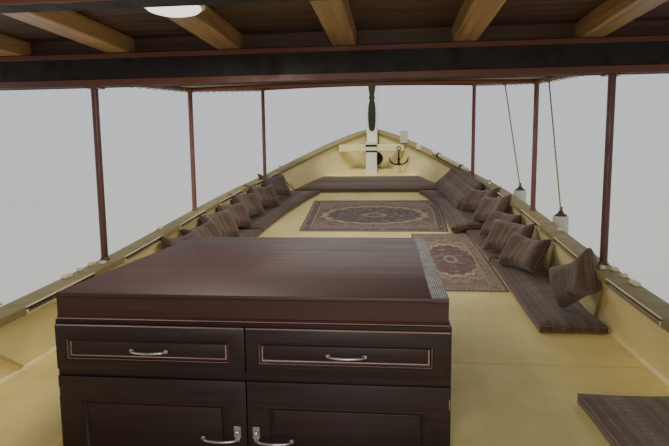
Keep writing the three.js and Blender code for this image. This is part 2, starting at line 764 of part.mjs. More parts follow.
const roofRailX = ROOF_HALF_WIDTH - ROOF_RAIL.inset;
const roofFootZ = DECK_Z + PLANK_TOP + GAP;
const roofRailZ = roofFootZ + ROOF_RAIL.height;
const stanchions = Array.from({ length: ROOF_RAIL.rows }, (_, k) => {
  const [y0, y1] = ROOF_RAIL.y;
  const y = y0 + ((y1 - y0) * k) / (ROOF_RAIL.rows - 1);
  return [-roofRailX, roofRailX].map((x) =>
    bar([x, y, roofFootZ], [x, y, roofRailZ], ROOF_RAIL.radius, 8),
  );
}).flat();
const railBars = [roofRailZ, roofRailZ - ROOF_RAIL.lower].flatMap((z) => {
  const [y0, y1] = ROOF_RAIL.y;
  const ends = [
    [-roofRailX, y0, -roofRailX, y1],
    [roofRailX, y0, roofRailX, y1],
    [-roofRailX, y1, roofRailX, y1],
  ];
  return ends.map(([xa, ya, xb, yb]) => bar([xa, ya, z], [xb, yb, z], ROOF_RAIL.radius, 8));
});
node(roofGroup, "roof_rail", joined([...stanchions, ...railBars]), whitePaint);

// Awning forward of the roof

const awningGroup = group("awning_and_its_frame");
const awningStart = [ROOF_PORTALS[0][0] + BEAM_HALF_DEPTH + 3, 2343, 2385];
const awningFrames = [awningStart, ...AWNING_PAIRS];
const crossbar = ([y, x, z]) =>
  bentRod(
    [-1, -0.5, 0, 0.5, 1].map((u) => [u * x, y, DECK_Z + z + AWNING_CAMBER * (1 - u * u)]),
    AWNING_PIPE_RADIUS,
    12,
  );
const awningPosts = AWNING_PAIRS.flatMap(([y, x, z]) => postPair(y, x, DECK_Z + z));
const sidePipes = [-1, 1].flatMap((side) =>
  [0, 1].map((k) => {
    const [y0, x0, z0] = awningFrames[k];
    const [y1, x1, z1] = awningFrames[k + 1];
    const from = [side * x0, y0, DECK_Z + z0];
    const to = [side * x1, y1, DECK_Z + z1];
    return bar(from, to, AWNING_PIPE_RADIUS, 10);
  }),
);
const frontBar = crossbar([awningStart[0] + 40, awningStart[1], awningStart[2]]);
const awningPipes = [...awningPosts, ...sidePipes, ...AWNING_PAIRS.map(crossbar), frontBar];
node(awningGroup, "awning_frame", cut(joined(awningPipes), [underRail]), maroonPaint);

const clothStations = [awningStart, ...AWNING_PAIRS, [7020, 1905, 2927]];
const clothAcross = Array.from({ length: 17 }, (_, k) => k / 8 - 1);
const clothRings = clothStations.map(([y, x, z]) => {
  const level = (u) => DECK_Z + z + AWNING_PIPE_RADIUS + 0.8 + AWNING_CAMBER * (1 - u * u);
  const top = clothAcross.map((u) => [u * (x + 60), y, level(u) + CLOTH]);
  const bottom = clothAcross.map((u) => [u * (x + 60), y, level(u)]);
  return [...top, ...bottom.reverse()];
});
node(awningGroup, "awning", loft(clothRings), cloth);

// Deckhouse

const houseGroup = group("deckhouse");
const houseFoot = (y) => deckAt(y) + GAP;
const sideFoot = [HOUSE_Y[0], -7600, -6500, HOUSE_Y[1]].map((y) => [y, houseFoot(y)]);
const sideOutline = [
  ...sideFoot,
  [HOUSE_Y[1], DECK_Z + HOUSE_TOP],
  [HOUSE_Y[0], DECK_Z + HOUSE_TOP],
];
const sideWindows = SIDE_WINDOWS_Y.map(([y0, y1]) =>
  box(-2000, 2000, y0, y1, DECK_Z + SIDE_WINDOW_Z[0], DECK_Z + SIDE_WINDOW_Z[1]),
);
SIDES.forEach(([name, side]) => {
  const x = [side * (HOUSE_X - HOUSE_WALL), side * HOUSE_X].sort((a, b) => a - b);
  const wall = solid(slabAcross(sideOutline, ...x));
  node(houseGroup, "cabin_" + name, cut(wall, sideWindows), whitePaint);
});
const endX = HOUSE_X - HOUSE_WALL - GAP;
const frontWall = box(
  -endX,
  endX,
  HOUSE_Y[1] - HOUSE_WALL,
  HOUSE_Y[1],
  houseFoot(HOUSE_Y[1] - HOUSE_WALL) + 1,
  DECK_Z + HOUSE_TOP,
);
// A hole through an end wall
const holeAt = (wallY, { x0, x1, bottom, top }) =>
  box(x0, x1, wallY - 200, wallY + 100, DECK_Z + bottom, DECK_Z + top);
const frontHoles = [FRONT_WINDOW, HOUSE_DOOR].map((hole) => holeAt(HOUSE_Y[1], hole));
node(houseGroup, "cabin_front", cut(solid(frontWall), frontHoles), whitePaint);
const aftWall = box(
  -endX,
  endX,
  HOUSE_Y[0],
  HOUSE_Y[0] + HOUSE_WALL,
  houseFoot(HOUSE_Y[0]) + 1,
  DECK_Z + HOUSE_TOP,
);
const aftWindow = holeAt(HOUSE_Y[0], AFT_WINDOW);
node(houseGroup, "cabin_aft", cut(solid(aftWall), [aftWindow]), whitePaint);

const leaf = box(
  HOUSE_DOOR.x0 + 8,
  HOUSE_DOOR.x1 - 0.8,
  HOUSE_Y[1] - 45,
  HOUSE_Y[1] - 5,
  DECK_Z + HOUSE_DOOR.bottom + 8,
  DECK_Z + HOUSE_DOOR.top - 8,
);
const leafWindow = holeAt(HOUSE_Y[1], DOOR_WINDOW);
const doorKnob = bar([500, -6410, DECK_Z + 1150], [500, -6340, DECK_Z + 1150], 22, 12);
node(houseGroup, "cabin_door", cut(joined([leaf, doorKnob]), [leafWindow]), darkWood);

// Helm inside the deckhouse

const wheelZ = DECK_Z + HELM.z;
const consoleBody = joined([
  box(
    CONSOLE.x0,
    CONSOLE.x1,
    CONSOLE.y0,
    CONSOLE.y1,
    deckAt(CONSOLE.y1) - 20,
    DECK_Z + CONSOLE.top,
  ),
  bar([HELM.x, CONSOLE.y0 + 40, wheelZ], [HELM.x, CONSOLE.y0 - 20, wheelZ], 60, 16),
]);
node(houseGroup, "helm_console", cut(consoleBody, [underDeck]), darkWood);
const rim = new THREE.TorusGeometry(HELM.rim, 17, 8, 28).rotateX(Math.PI / 2);
const spokes = Array.from({ length: 6 }, (_, k) => {
  const angle = (k * Math.PI) / 3;
  return bar([0, 0, 0], [HELM.handle * Math.cos(angle), 0, HELM.handle * Math.sin(angle)], 14, 8);
});
const wheelHub = bar([0, 89.5, 0], [0, -35, 0], 48, 16);
const wheelPlace = group("helm_wheel_on_its_axis", houseGroup, [HELM.x, HELM.y, wheelZ]);
node(wheelPlace, "helm_wheel", joined([rim, wheelHub, ...spokes]), ochreWood);

// Serving counter with its drawers and cupboards, in a group at the deck datum

const counterGroup = group("serving_counter", root, [0, 0, DECK_Z]);
const counterUpper = box(
  COUNTER.x0,
  COUNTER.x1,
  COUNTER.front,
  COUNTER.back,
  deckAt(COUNTER.back) - DECK_Z + GAP,
  COUNTER.top,
);
const counterLower = box(
  COUNTER.x0,
  COUNTER.x1,
  COUNTER.front,
  WELL.y1 - 1,
  GAP - WELL.depth,
  100,
);
const drawerRooms = FRONTS.map(([, x0, x1]) =>
  box(
    x0 + 25,
    x1 - 25,
    COUNTER.front - 10,
    COUNTER.front + DRAWER_DEPTH,
    DRAWER_Z[0] + 25,
    DRAWER_Z[1] - 20,
  ),
);
const cupboardRooms = FRONTS.map(([, x0, x1]) =>
  box(
    x0 + 25,
    x1 - 25,
    COUNTER.front - 10,
    COUNTER.front + CUPBOARD_DEPTH,
    CUPBOARD_Z[0] + 20,
    CUPBOARD_Z[1] - 20,
  ),
);
const counterBody = cut(joined([counterUpper, counterLower]), [...drawerRooms, ...cupboardRooms]);
node(counterGroup, "counter_body", counterBody, darkWood);

const slab = box(SLAB.x0, SLAB.x1, SLAB.y0, SLAB.y1, COUNTER.top + GAP, SLAB.top);
const stripX = SLAB.x1 - STRIP.width;
const stripBottom = SLAB.top - STRIP.thickness;
const rebate = box(
  stripX - GAP,
  SLAB.x1 + 10,
  SLAB.y0 - 10,
  SLAB.y1 + 10,
  stripBottom - GAP,
  SLAB.top + 10,
);
node(counterGroup, "counter_top", cut(solid(slab), [rebate]), darkWood);
const strip = box(stripX, SLAB.x1, SLAB.y0, SLAB.y1, stripBottom, SLAB.top);
node(counterGroup, "counter_edge_strip", strip, steel);

// A bow handle standing out of a front face
function bowHandle(x, z) {
  const { half, reach, radius } = HANDLE;
  const foot = 6 - FRONT_THICKNESS;
  const points = [
    [x - half, foot, z],
    [x - half * 0.8, foot + 8 - reach, z],
    [x, foot - 6 - reach, z],
    [x + half * 0.8, foot + 8 - reach, z],
    [x + half, foot, z],
  ];
  return bentRod(points, radius, 10, 6);
}

FRONTS.forEach(([name, x0, x1, doorHandleX]) => {
  const middle = (x0 + x1) / 2;
  const half = (x1 - x0) / 2;
  const place = group("fronts_" + name, counterGroup, [middle, COUNTER.front, 0]);
  const face = [-FRONT_THICKNESS, -0.5];
  const drawerFront = box(-half, half, ...face, ...DRAWER_Z);
  const tray = box(31 - half, half - 31, -5, DRAWER_DEPTH - 15, DRAWER_Z[0] + 31, DRAWER_Z[1] - 60);
  const trayRoom = box(
    45 - half,
    half - 45,
    10,
    DRAWER_DEPTH - 30,
    DRAWER_Z[0] + 45,
    DRAWER_Z[1],
  );
  const drawer = cut(joined([drawerFront, tray]), [trayRoom]);
  node(place, "drawer_" + name, drawer.add(solid(bowHandle(0, DRAWER_HANDLE_Z))), darkWood);

  const door = box(-half, half, ...face, ...CUPBOARD_Z);
  const doorHandle = bowHandle(doorHandleX - middle, DOOR_HANDLE_Z);
  node(place, "cupboard_door_" + name, joined([door, doorHandle]), darkWood);
});

// Soft furnishings, which follow the rise of the deck

const furnishings = group("soft_furnishings");
function stationsBetween(y0, y1) {
  return [y0, ...STATIONS.filter((y) => y > y0 + 20 && y < y1 - 20), y1];
}
const innerAt = (y) => between(innerX, y);
MATTRESS_RUNS.forEach(([name, side, y0, y1, inset]) => {
  const rings = stationsBetween(y0, y1).map((y) => {
    const outer = innerAt(y) - inset;
    const inner = outer - MATTRESS.width;
    const bottom = deckAt(y) + GAP;
    return onSide(side, [
      [inner, y, bottom],
      [inner, y, bottom + MATTRESS.thickness],
      [outer, y, bottom + MATTRESS.thickness],
      [outer, y, bottom],
    ]);
  });
  node(furnishings, "mattress_" + name, loft(rings), mattressCloth);
});
CUSHION_RUNS.forEach(([name, side, y0, y1]) => {
  const rings = stationsBetween(y0, y1).map((y) => {
    const outer = between(railInnerX, y) - CUSHION.clearance;
    const foot = outer - CUSHION.lean;
    const bottom = deckAt(y) + MATTRESS.thickness + 2 * GAP;
    return onSide(side, [
      [foot - CUSHION.thickness, y, bottom],
      [outer - CUSHION.thickness, y, bottom + CUSHION.height],
      [outer, y, bottom + CUSHION.height],
      [foot, y, bottom],
    ]);
  });
  node(furnishings, "back_cushions_" + name, loft(rings), mattressCloth);
});
const bowRings = stationsBetween(...BOW_MATTRESS_Y).map((y) => {
  const x = innerAt(y) - MATTRESS_RUNS[1][4];
  const bottom = deckAt(y) + GAP;
  return [
    [-x, y, bottom],
    [-x, y, bottom + MATTRESS.thickness],
    [x, y, bottom + MATTRESS.thickness],
    [x, y, bottom],
  ];
});
node(furnishings, "mattress_bow", loft(bowRings), mattressCloth);

CARPETS.forEach(([name, x0, x1, y0, y1]) => {
  const rings = stationsBetween(y0, y1).map((y) => {
    const limit = innerAt(y) - MATTRESS_RUNS[1][4] - MATTRESS.width - 15;
    const left = Math.max(x0, -limit);
    const right = Math.min(x1, limit);
    const bottom = deckAt(y) + GAP;
    return [
      [left, y, bottom],
      [left, y, bottom + CARPET_THICKNESS],
      [right, y, bottom + CARPET_THICKNESS],
      [right, y, bottom],
    ];
  });
  node(furnishings, "carpet_" + name, loft(rings), carpetPile);
});

// Ground tackle and deck fittings

const tackle = group("deck_fittings");
const BITT = { x: 735, y: 9300, half: 83, top: DECK_Z + 2240 };
const bittOutline = [
  [BITT.y - BITT.half, railAt(BITT.y - BITT.half) + GAP],
  [BITT.y + BITT.half, railAt(BITT.y + BITT.half) + GAP],
  [BITT.y + BITT.half, BITT.top],
  [BITT.y - BITT.half, BITT.top],
];
const bittPost = slabAcross(bittOutline, BITT.x - BITT.half, BITT.x + BITT.half);
node(tackle, "bow_bitt", bittPost, whitePaint);

const SPAR = { y0: 7100, y1: 8500, inboard: 130, radius: 42 };
const sparEnd = (y) => [
  railOuterX(y) - SPAR.inboard * slant(y),
  y,
  railAt(y) + SPAR.radius + 1.9,
];
node(tackle, "rail_spar", bar(sparEnd(SPAR.y0), sparEnd(SPAR.y1), SPAR.radius, 12), paleWood);

// The grapnel hangs by its ring from the peg on the bow beam
const ringZ = DECK_Z + PEG.top - PEG.ringDrop;
const crownZ = DECK_Z + ANCHOR.crown;
const anchorArms = [0, 1, 2, 3].map((k) => {
  const angle = (k * Math.PI) / 2;
  const out = (r, z) => [
    ANCHOR.x + r * Math.cos(angle),
    ANCHOR.y + r * Math.sin(angle),
    crownZ + z,
  ];
  return bentRod([out(0, 0), out(100, 5), out(180, 60), out(ANCHOR.reach, 165)], ANCHOR.rod, 8);
});
const anchorShank = bar(
  [ANCHOR.x, ANCHOR.y, crownZ - 20],
  [ANCHOR.x, ANCHOR.y, ringZ - ANCHOR_RING.radius + 5],
  20,
  10,
);
const anchorRing = new THREE.TorusGeometry(ANCHOR_RING.radius, ANCHOR_RING.rod, 6, 16);
anchorRing.rotateX(Math.PI / 2).translate(ANCHOR.x, ANCHOR.y, ringZ);
node(tackle, "grapnel_anchor", joined([anchorShank, anchorRing, ...anchorArms]), blackIron);

// Fenders against the starboard bulwark, each on its rope from the awning's side pipe
const FENDER = { radius: 95, length: 560, clearance: 8 };
const FENDERS = [
  // y, height of the fender's head over the deck datum
  [5400, 1090],
  [3700, 870],
];
const sidePipeAt = (y) => {
  const k = y < AWNING_PAIRS[0][0] ? 0 : 1;
  const [y0, x0, z0] = awningFrames[k];
  const [y1, x1, z1] = awningFrames[k + 1];
  const t = (y - y0) / (y1 - y0);
  return [x0 + (x1 - x0) * t, y, DECK_Z + z0 + (z1 - z0) * t];
};
FENDERS.forEach(([y, head], k) => {
  const { radius, length, clearance } = FENDER;
  const top = DECK_Z + head;
  const side = between((station) => outerX(station, top - length), y);
  const x = Math.max(side, between(railOuterX, y)) + radius + clearance;
  const [pipeX, , pipeZ] = sidePipeAt(y);
  const body = bar([x, y, top - length], [x, y, top], radius, 16);
  const nose = bar([x, y, top], [x, y, top + 70], radius, 16, 30);
  const rope = bar(
    [x, y, top + 40],
    [pipeX + 4, y, pipeZ - AWNING_PIPE_RADIUS - 0.8],
    9,
    8,
  );
  node(tackle, "fender_" + (k + 1), joined([body, nose, rope]), rubber);
});

// On the roof and under it

const LAMP = { x: -930, y: 200, radius: 200, depth: 60 };
node(
  roofGroup,
  "ceiling_lamp",
  bar(
    [LAMP.x, LAMP.y, DECK_Z + BEAM_TOP - GAP - LAMP.depth],
    [LAMP.x, LAMP.y, DECK_Z + BEAM_TOP - GAP],
    LAMP.radius * 0.8,
    28,
    LAMP.radius,
  ),
  lampGlass,
);

const MAST = { y: -5400, height: 2300, crosstree: 500 };
const mastFoot = DECK_Z + PLANK_TOP + GAP;
const mastHead = mastFoot + MAST.height;
node(
  roofGroup,
  "signal_mast",
  joined([
    bar([0, MAST.y, mastFoot], [0, MAST.y, mastHead], 55, 14, 34),
    bar([0, MAST.y, mastFoot], [0, MAST.y, mastFoot + 20], 150, 20),
    bar(
      [-MAST.crosstree, MAST.y, mastHead - 520],
      [MAST.crosstree, MAST.y, mastHead - 520],
      24,
      10,
    ),
    bar([0, MAST.y, mastHead - 10], [0, MAST.y, mastHead + 130], 60, 16),
  ]),
  whitePaint,
);

const LADDER = { x: 800, half: 210, footY: -9600, topY: -9190, top: DECK_Z + 3150, rungs: 9 };
const ladderFoot = deckAt(LADDER.footY) - 20;
const ladderAt = (x, t) => [
  x,
  LADDER.footY + (LADDER.topY - LADDER.footY) * t,
  ladderFoot + (LADDER.top - ladderFoot) * t,
];
const stiles = [LADDER.x - LADDER.half, LADDER.x + LADDER.half].map((x) =>
  bar(ladderAt(x, 0), ladderAt(x, 1), 24, 10),
);
const rungs = Array.from({ length: LADDER.rungs }, (_, k) => {
  const t = (k + 0.8) / (LADDER.rungs + 0.6);
  return bar(ladderAt(LADDER.x - LADDER.half, t), ladderAt(LADDER.x + LADDER.half, t), 16, 8);
});
node(roofGroup, "roof_ladder", cut(joined([...stiles, ...rungs]), [underDeck]), steel);

export default root;
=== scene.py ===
import random
from itertools import product
from math import cos, exp, hypot, pi, radians, sin, sqrt
from types import SimpleNamespace

import bmesh
import bpy
from mathutils import Matrix, Vector, noise


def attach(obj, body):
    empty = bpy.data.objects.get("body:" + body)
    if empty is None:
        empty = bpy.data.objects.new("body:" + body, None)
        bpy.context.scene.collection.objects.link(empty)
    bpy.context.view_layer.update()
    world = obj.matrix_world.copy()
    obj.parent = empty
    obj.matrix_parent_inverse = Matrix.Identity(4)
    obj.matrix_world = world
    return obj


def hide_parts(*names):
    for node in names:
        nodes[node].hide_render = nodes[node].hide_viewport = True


# A covered cruising dhow, seen from the cockpit over the serving counter, looking forward.
# Metres. x runs to starboard, y forward and z up from the waterline.

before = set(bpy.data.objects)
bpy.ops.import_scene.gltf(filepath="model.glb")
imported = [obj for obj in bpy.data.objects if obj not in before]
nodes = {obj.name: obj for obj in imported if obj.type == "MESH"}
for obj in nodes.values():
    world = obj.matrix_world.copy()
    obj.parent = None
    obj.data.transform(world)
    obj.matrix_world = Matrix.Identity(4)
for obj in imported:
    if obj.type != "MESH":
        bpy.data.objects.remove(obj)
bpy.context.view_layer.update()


# Camera, light and floor

# The photograph's camera: turned to port, down and rolled, in degrees
YAW, PITCH, ROLL = 6.005, 6.763, -0.627

CAMERA_PLACE = (0.459, -3.30, 2.57)

LENS, SENSOR_WIDTH, SIGHT = 29.346, 36, 400

SKY, SKY_STRENGTH = (0.80, 0.82, 0.85, 1), 0.85

SUN_STRENGTH, SUN_SPREAD, SUN_TURN, SUN_COLOUR = 1.9, 14, (38, -24, 20), (1, 0.97, 0.92)

# Name, place, size, power, tilt in degrees and colour of each soft panel
PANELS = (
    ("fill_behind_counter", (0.3, -3.6, 2.65), 1.5, 58, 72, (1, 0.96, 0.9)),
    ("glow_under_roof", (-0.9, 0.25, 3.46), 0.7, 34, 0, (1, 0.96, 0.9)),
    ("fill_under_awning", (0.0, 4.2, 3.35), 2.6, 46, 0, (1, 0.97, 0.92)),
)

FLOOR_REACH = 260

def into_scene(name, data):
    made = bpy.data.objects.new(name, data)
    bpy.context.scene.collection.objects.link(made)
    return made


def degrees(*angles):
    return [radians(angle) for angle in angles]


def place_camera():
    yaw, pitch, roll = degrees(YAW, PITCH, ROLL)
    ahead = Vector((-sin(yaw) * cos(pitch), cos(yaw) * cos(pitch), -sin(pitch)))
    level = Vector((cos(yaw), sin(yaw), 0))
    over = level.cross(ahead)
    right = cos(roll) * level + sin(roll) * over
    up = -sin(roll) * level + cos(roll) * over
    camera = into_scene("camera", bpy.data.cameras.new("camera"))
    stand = Matrix((right, up, -ahead)).transposed().to_4x4()
    stand.translation = CAMERA_PLACE
    camera.matrix_world = stand
    camera.data.lens, camera.data.sensor_width, camera.data.clip_end = LENS, SENSOR_WIDTH, SIGHT
    bpy.context.scene.camera = camera


def light_studio():
    world = bpy.data.worlds.new("studio")
    bpy.context.scene.world = world
    world.use_nodes = True
    back = world.node_tree.nodes["Background"]
    back.inputs["Color"].default_value, back.inputs["Strength"].default_value = SKY, SKY_STRENGTH
    sun = bpy.data.lights.new("soft_sun", "SUN")
    sun.energy, sun.angle, sun.color = SUN_STRENGTH, radians(SUN_SPREAD), SUN_COLOUR
    into_scene("soft_sun", sun).rotation_euler = degrees(*SUN_TURN)
    for name, place, size, power, tilt, colour in PANELS:
        panel = bpy.data.lights.new(name, "AREA")
        panel.size, panel.energy, panel.color = size, power, colour
        holder = into_scene(name, panel)
        holder.location, holder.rotation_euler = place, degrees(tilt, 0, 0)
        holder.visible_camera = False


def lay_floor(finish):
    floor = bpy.data.meshes.new("floor")
    corners = [(x * FLOOR_REACH, y * FLOOR_REACH, 0) for x, y in ((-1, -1), (1, -1), (1, 1), (-1, 1))]
    floor.from_pydata(corners, [], [(0, 1, 2, 3)])
    floor.materials.append(finish.material)
    sheet = into_scene("floor", floor)


# Finishes

def tone(red, green, blue):
    """A colour as a paint maker's 0 to 255 card gives it."""
    def straight(v):
        v /= 255
        return v / 12.92 if v <= 0.04045 else ((v + 0.055) / 1.055) ** 2.4
    return (straight(red), straight(green), straight(blue), 1)


def grained(axis, lengthwise, crosswise):
    """Stretch of a pattern whose grain runs along one axis."""
    return [lengthwise if name == axis else crosswise for name in "xyz"]


def feed(socket, value):
    if isinstance(value, bpy.types.NodeSocket):
        socket.id_data.links.new(value, socket)
    else:
        socket.default_value = value


def node(near, kind, settings=(), **given):
    """A new node in a tree, or in the tree that a socket belongs to."""
    made = near.id_data.nodes.new(kind)
    for key, value in dict(settings).items():
        setattr(made, key, value)
    for key, value in given.items():
        feed(made.inputs[key.replace("_", " ")], value)
    return made


def worked(kind, a, b=0.5):
    """The outcome of one sum on two values, of which one or both are sockets."""
    made = node(a if isinstance(a, bpy.types.NodeSocket) else b, "ShaderNodeMath", {"operation": kind})
    feed(made.inputs[0], a)
    feed(made.inputs[1], b)
    return made.outputs[0]


def times(a, b):
    return worked("MULTIPLY", a, b)


def plus(a, b):
    return worked("ADD", a, b)


def less(a, b):
    return worked("SUBTRACT", a, b)


def shared(a, b):
    return worked("DIVIDE", a, b)


def away(a):
    return worked("ABSOLUTE", a)


def axes(where):
    return node(where, "ShaderNodeSeparateXYZ", Vector=where).outputs


def cloud(where, size, detail=3.0, rough=0.55, bend=0.0):
    given = dict(Scale=size, Detail=detail, Roughness=rough, Distortion=bend)
    return node(where, "ShaderNodeTexNoise", Vector=where, **given).outputs["Fac"]


def span(value, low, high, to_low=0.0, to_high=1.0):
    made = node(value, "ShaderNodeMapRange", {"interpolation_type": "SMOOTHSTEP"})
    for key, v in zip(("Value", "From Min", "From Max", "To Min", "To Max"), (value, low, high, to_low, to_high)):
        feed(made.inputs[key], v)
    return made.outputs[0]


def over(share, under, upper):
    made = node(share, "ShaderNodeMix", {"data_type": "RGBA"})
    for number, value in ((0, share), (6, under), (7, upper)):
        feed(made.inputs[number], value)
    return made.outputs[2]


def stain(base, value, low, high, share, colour):
    """The base, with up to this share of a colour over it where the value is high."""
    return over(span(value, low, high, 0, share), base, colour)


def card(value, stops, blend="LINEAR"):
    """Colours read off by a value, from (value, colour) stops."""
    made = node(value, "ShaderNodeValToRGB", Fac=value)
    made.color_ramp.interpolation = blend
    band = made.color_ramp.elements
    band[0].position, band[0].color = stops[0]
    band[1].position, band[1].color = stops[-1]
    for at, colour in stops[1:-1]:
        band.new(at).color = colour
    return made.outputs[0]


def weave(u, v, pitch):
    """Warp and weft at this pitch."""
    warp, weft = (worked("SINE", times(way, 2 * pi / pitch)) for way in (u, v))
    return times(warp, weft)


def groove(along, width, line):
    """1 on the joints of boards of this width, 0 between them."""
    return span(away(less(worked("FRACT", shared(along, width)), 0.5)), 0.5 - line / width, 0.5)


class Finish:
    """A material whose nodes are laid one after another."""

    def __init__(self, name, colour, roughness, **sockets):
        self.material = bpy.data.materials.new(name)
        self.material.use_nodes = True
        self.tree = self.material.node_tree
        self.shader = self.tree.nodes["Principled BSDF"]
        for key, value in {"Base Color": colour, "Roughness": roughness, **sockets}.items():
            self.shader.inputs[key.replace("_", " ")].default_value = value
        self.material.diffuse_color = colour

    def place(self, stretch=(1, 1, 1)):
        where = node(self.tree, "ShaderNodeTexCoord").outputs["Object"]
        return node(where, "ShaderNodeMapping", Vector=where, Scale=stretch).outputs[0]

    def cut(self):
        """Distances across and along the cloth, as it was cut."""
        return axes(node(self.tree, "ShaderNodeUVMap", {"uv_map": "lay"}).outputs[0])[:2]

    def paint(self, value):
        feed(self.shader.inputs["Base Color"], value)

    def gloss(self, value):
        feed(self.shader.inputs["Roughness"], value)

    def relief(self, height, depth, strength=1.0):
        made = node(height, "ShaderNodeBump", Strength=strength, Distance=depth, Height=height)
        before = self.shader.inputs["Normal"]
        if before.is_linked:
            feed(made.inputs["Normal"], before.links[0].from_socket)
        feed(before, made.outputs[0])


def darker(colour, share):
    return tuple(c * share for c in colour[:3]) + (1,)


def painted_boards(name, colour, grain, worn, sheen, boards=None, butts=None):
    """Brushed oil paint on wood, worn and dirty in patches, with the joints of its boards.

    The boards are given by their width, and their butts by the first one's y and their pitch."""
    finish = Finish(name, colour, sheen)
    where = finish.place()
    broad = cloud(where, 1.3, 4)
    streak = cloud(finish.place(grained(grain, 1.2, 26)), 1.0, 3, 0.6)
    blotch = cloud(where, 7.0, 6, 0.62)
    dirt = tuple(a * b for a, b in zip(darker(colour, 0.45), (1.0, 0.86, 0.7, 1)))
    base = over(span(broad, 0.3, 0.7), darker(colour, 0.86), darker(colour, 1.04))
    base = stain(base, streak, 0.42, 0.75, 0.22, darker(colour, 0.7))
    base = stain(base, blotch, 0.58, 0.76, worn, dirt)
    height = times(streak, 0.35)
    joints = []
    if boards:
        joints.append((axes(where)[0], boards, 0.006, 0.55, 0.28))
    if butts:
        joints.append((less(axes(where)[1], butts[0]), butts[1], 0.009, 0.5, 0.3))
    for along, pitch, line, share, dark in joints:
        joint = groove(along, pitch, line)
        base = over(times(joint, share), base, darker(colour, dark))
        height = less(height, joint)
    finish.paint(base)
    finish.gloss(span(blotch, 0.3, 0.75, sheen - 0.06, sheen + 0.22))
    finish.relief(height, 0.003, 0.45)
    return finish


def varnished(name, dark, light, grain, coat, sheen, fine):
    """Stained and varnished hardwood with its grain along one axis."""
    finish = Finish(name, light, sheen, Coat_Weight=coat, Coat_Roughness=0.12)
    stretch = grained(grain, 1.0, fine)
    near = cloud(finish.place(stretch), 1.0, 6, 0.6, 0.6)
    broad = cloud(finish.place([v / 6 for v in stretch]), 1.0, 2, 0.5, 0.3)
    pore = cloud(finish.place([v * 5 for v in stretch]), 1.0, 2)
    mixed = plus(times(near, 0.6), times(broad, 0.4))
    middle = tuple((a + b) / 2 for a, b in zip(dark, light))
    base = card(mixed, ((0.34, dark), (0.5, middle), (0.66, light)))
    finish.paint(stain(base, pore, 0.6, 0.75, 0.35, darker(dark, 0.5)))
    finish.gloss(span(near, 0.3, 0.7, sheen - 0.05, sheen + 0.12))
    finish.relief(plus(near, pore), 0.0008, 0.35)
    return finish


def metal(name, colour, sheen, brushed, spots):
    finish = Finish(name, colour, sheen, Metallic=0.92)
    hair = cloud(finish.place(grained(brushed, 4, 260)), 1.0, 2)
    dull = cloud(finish.place(), 14, 5, 0.6)
    finish.paint(stain(colour, dull, 0.5, 0.8, spots, darker(colour, 0.45)))
    bright = span(hair, 0.3, 0.7, sheen - 0.08, sheen + 0.1)
    finish.gloss(plus(bright, span(dull, 0.4, 0.8, 0, 0.2)))
    finish.relief(hair, 0.0003, 0.3)
    return finish


def cast(name, colour, sheen, metallic, rust, rust_tone=(92, 48, 26)):
    finish = Finish(name, colour, sheen, Metallic=metallic)
    lumps = cloud(finish.place(), 55, 4, 0.6)
    patch = cloud(finish.place(), 9, 6, 0.65)
    base = stain(colour, patch, 0.55, 0.72, rust, tone(*rust_tone))
    finish.paint(stain(base, lumps, 0.3, 0.7, 0.3, darker(colour, 0.6)))
    finish.gloss(span(patch, 0.4, 0.7, sheen, min(1, sheen + 0.25)))
    finish.relief(lumps, 0.0015, 0.5)
    return finish


def hull_side():
    """Topside paint over a dark boot top and red bottom paint, with weeping seams."""
    top, boot, bottom = tone(226, 220, 200), tone(64, 30, 30), tone(124, 48, 38)
    finish = Finish("topside_paint", top, 0.38)
    where = finish.place()
    height = axes(where)[2]
    wander = cloud(where, 2.2, 4)
    level = plus(height, times(less(wander, 0.5), 0.02))
    broad = cloud(where, 0.8, 4)
    drip = cloud(finish.place((9, 9, 0.7)), 1.0, 5, 0.6)
    speck = cloud(where, 30, 4, 0.6)
    base = over(span(broad, 0.3, 0.7), darker(top, 0.88), top)
    base = stain(base, drip, 0.54, 0.72, 0.28, tone(150, 128, 96))
    grime = times(span(level, 0.5, 0.12, 0, 0.42), span(speck, 0.3, 0.7, 0.5, 1))
    base = over(grime, base, tone(118, 108, 72))
    base = over(span(level, 0.155, 0.15), base, boot)
    base = over(span(level, 0.035, 0.03), base, bottom)
    finish.paint(stain(base, speck, 0.6, 0.72, 0.25, darker(top, 0.4)))
    finish.gloss(span(drip, 0.3, 0.75, 0.3, 0.62))
    streak = cloud(finish.place((3, 0.9, 22)), 1.0, 3)
    finish.relief(plus(streak, times(speck, 0.4)), 0.004, 0.4)
    return finish


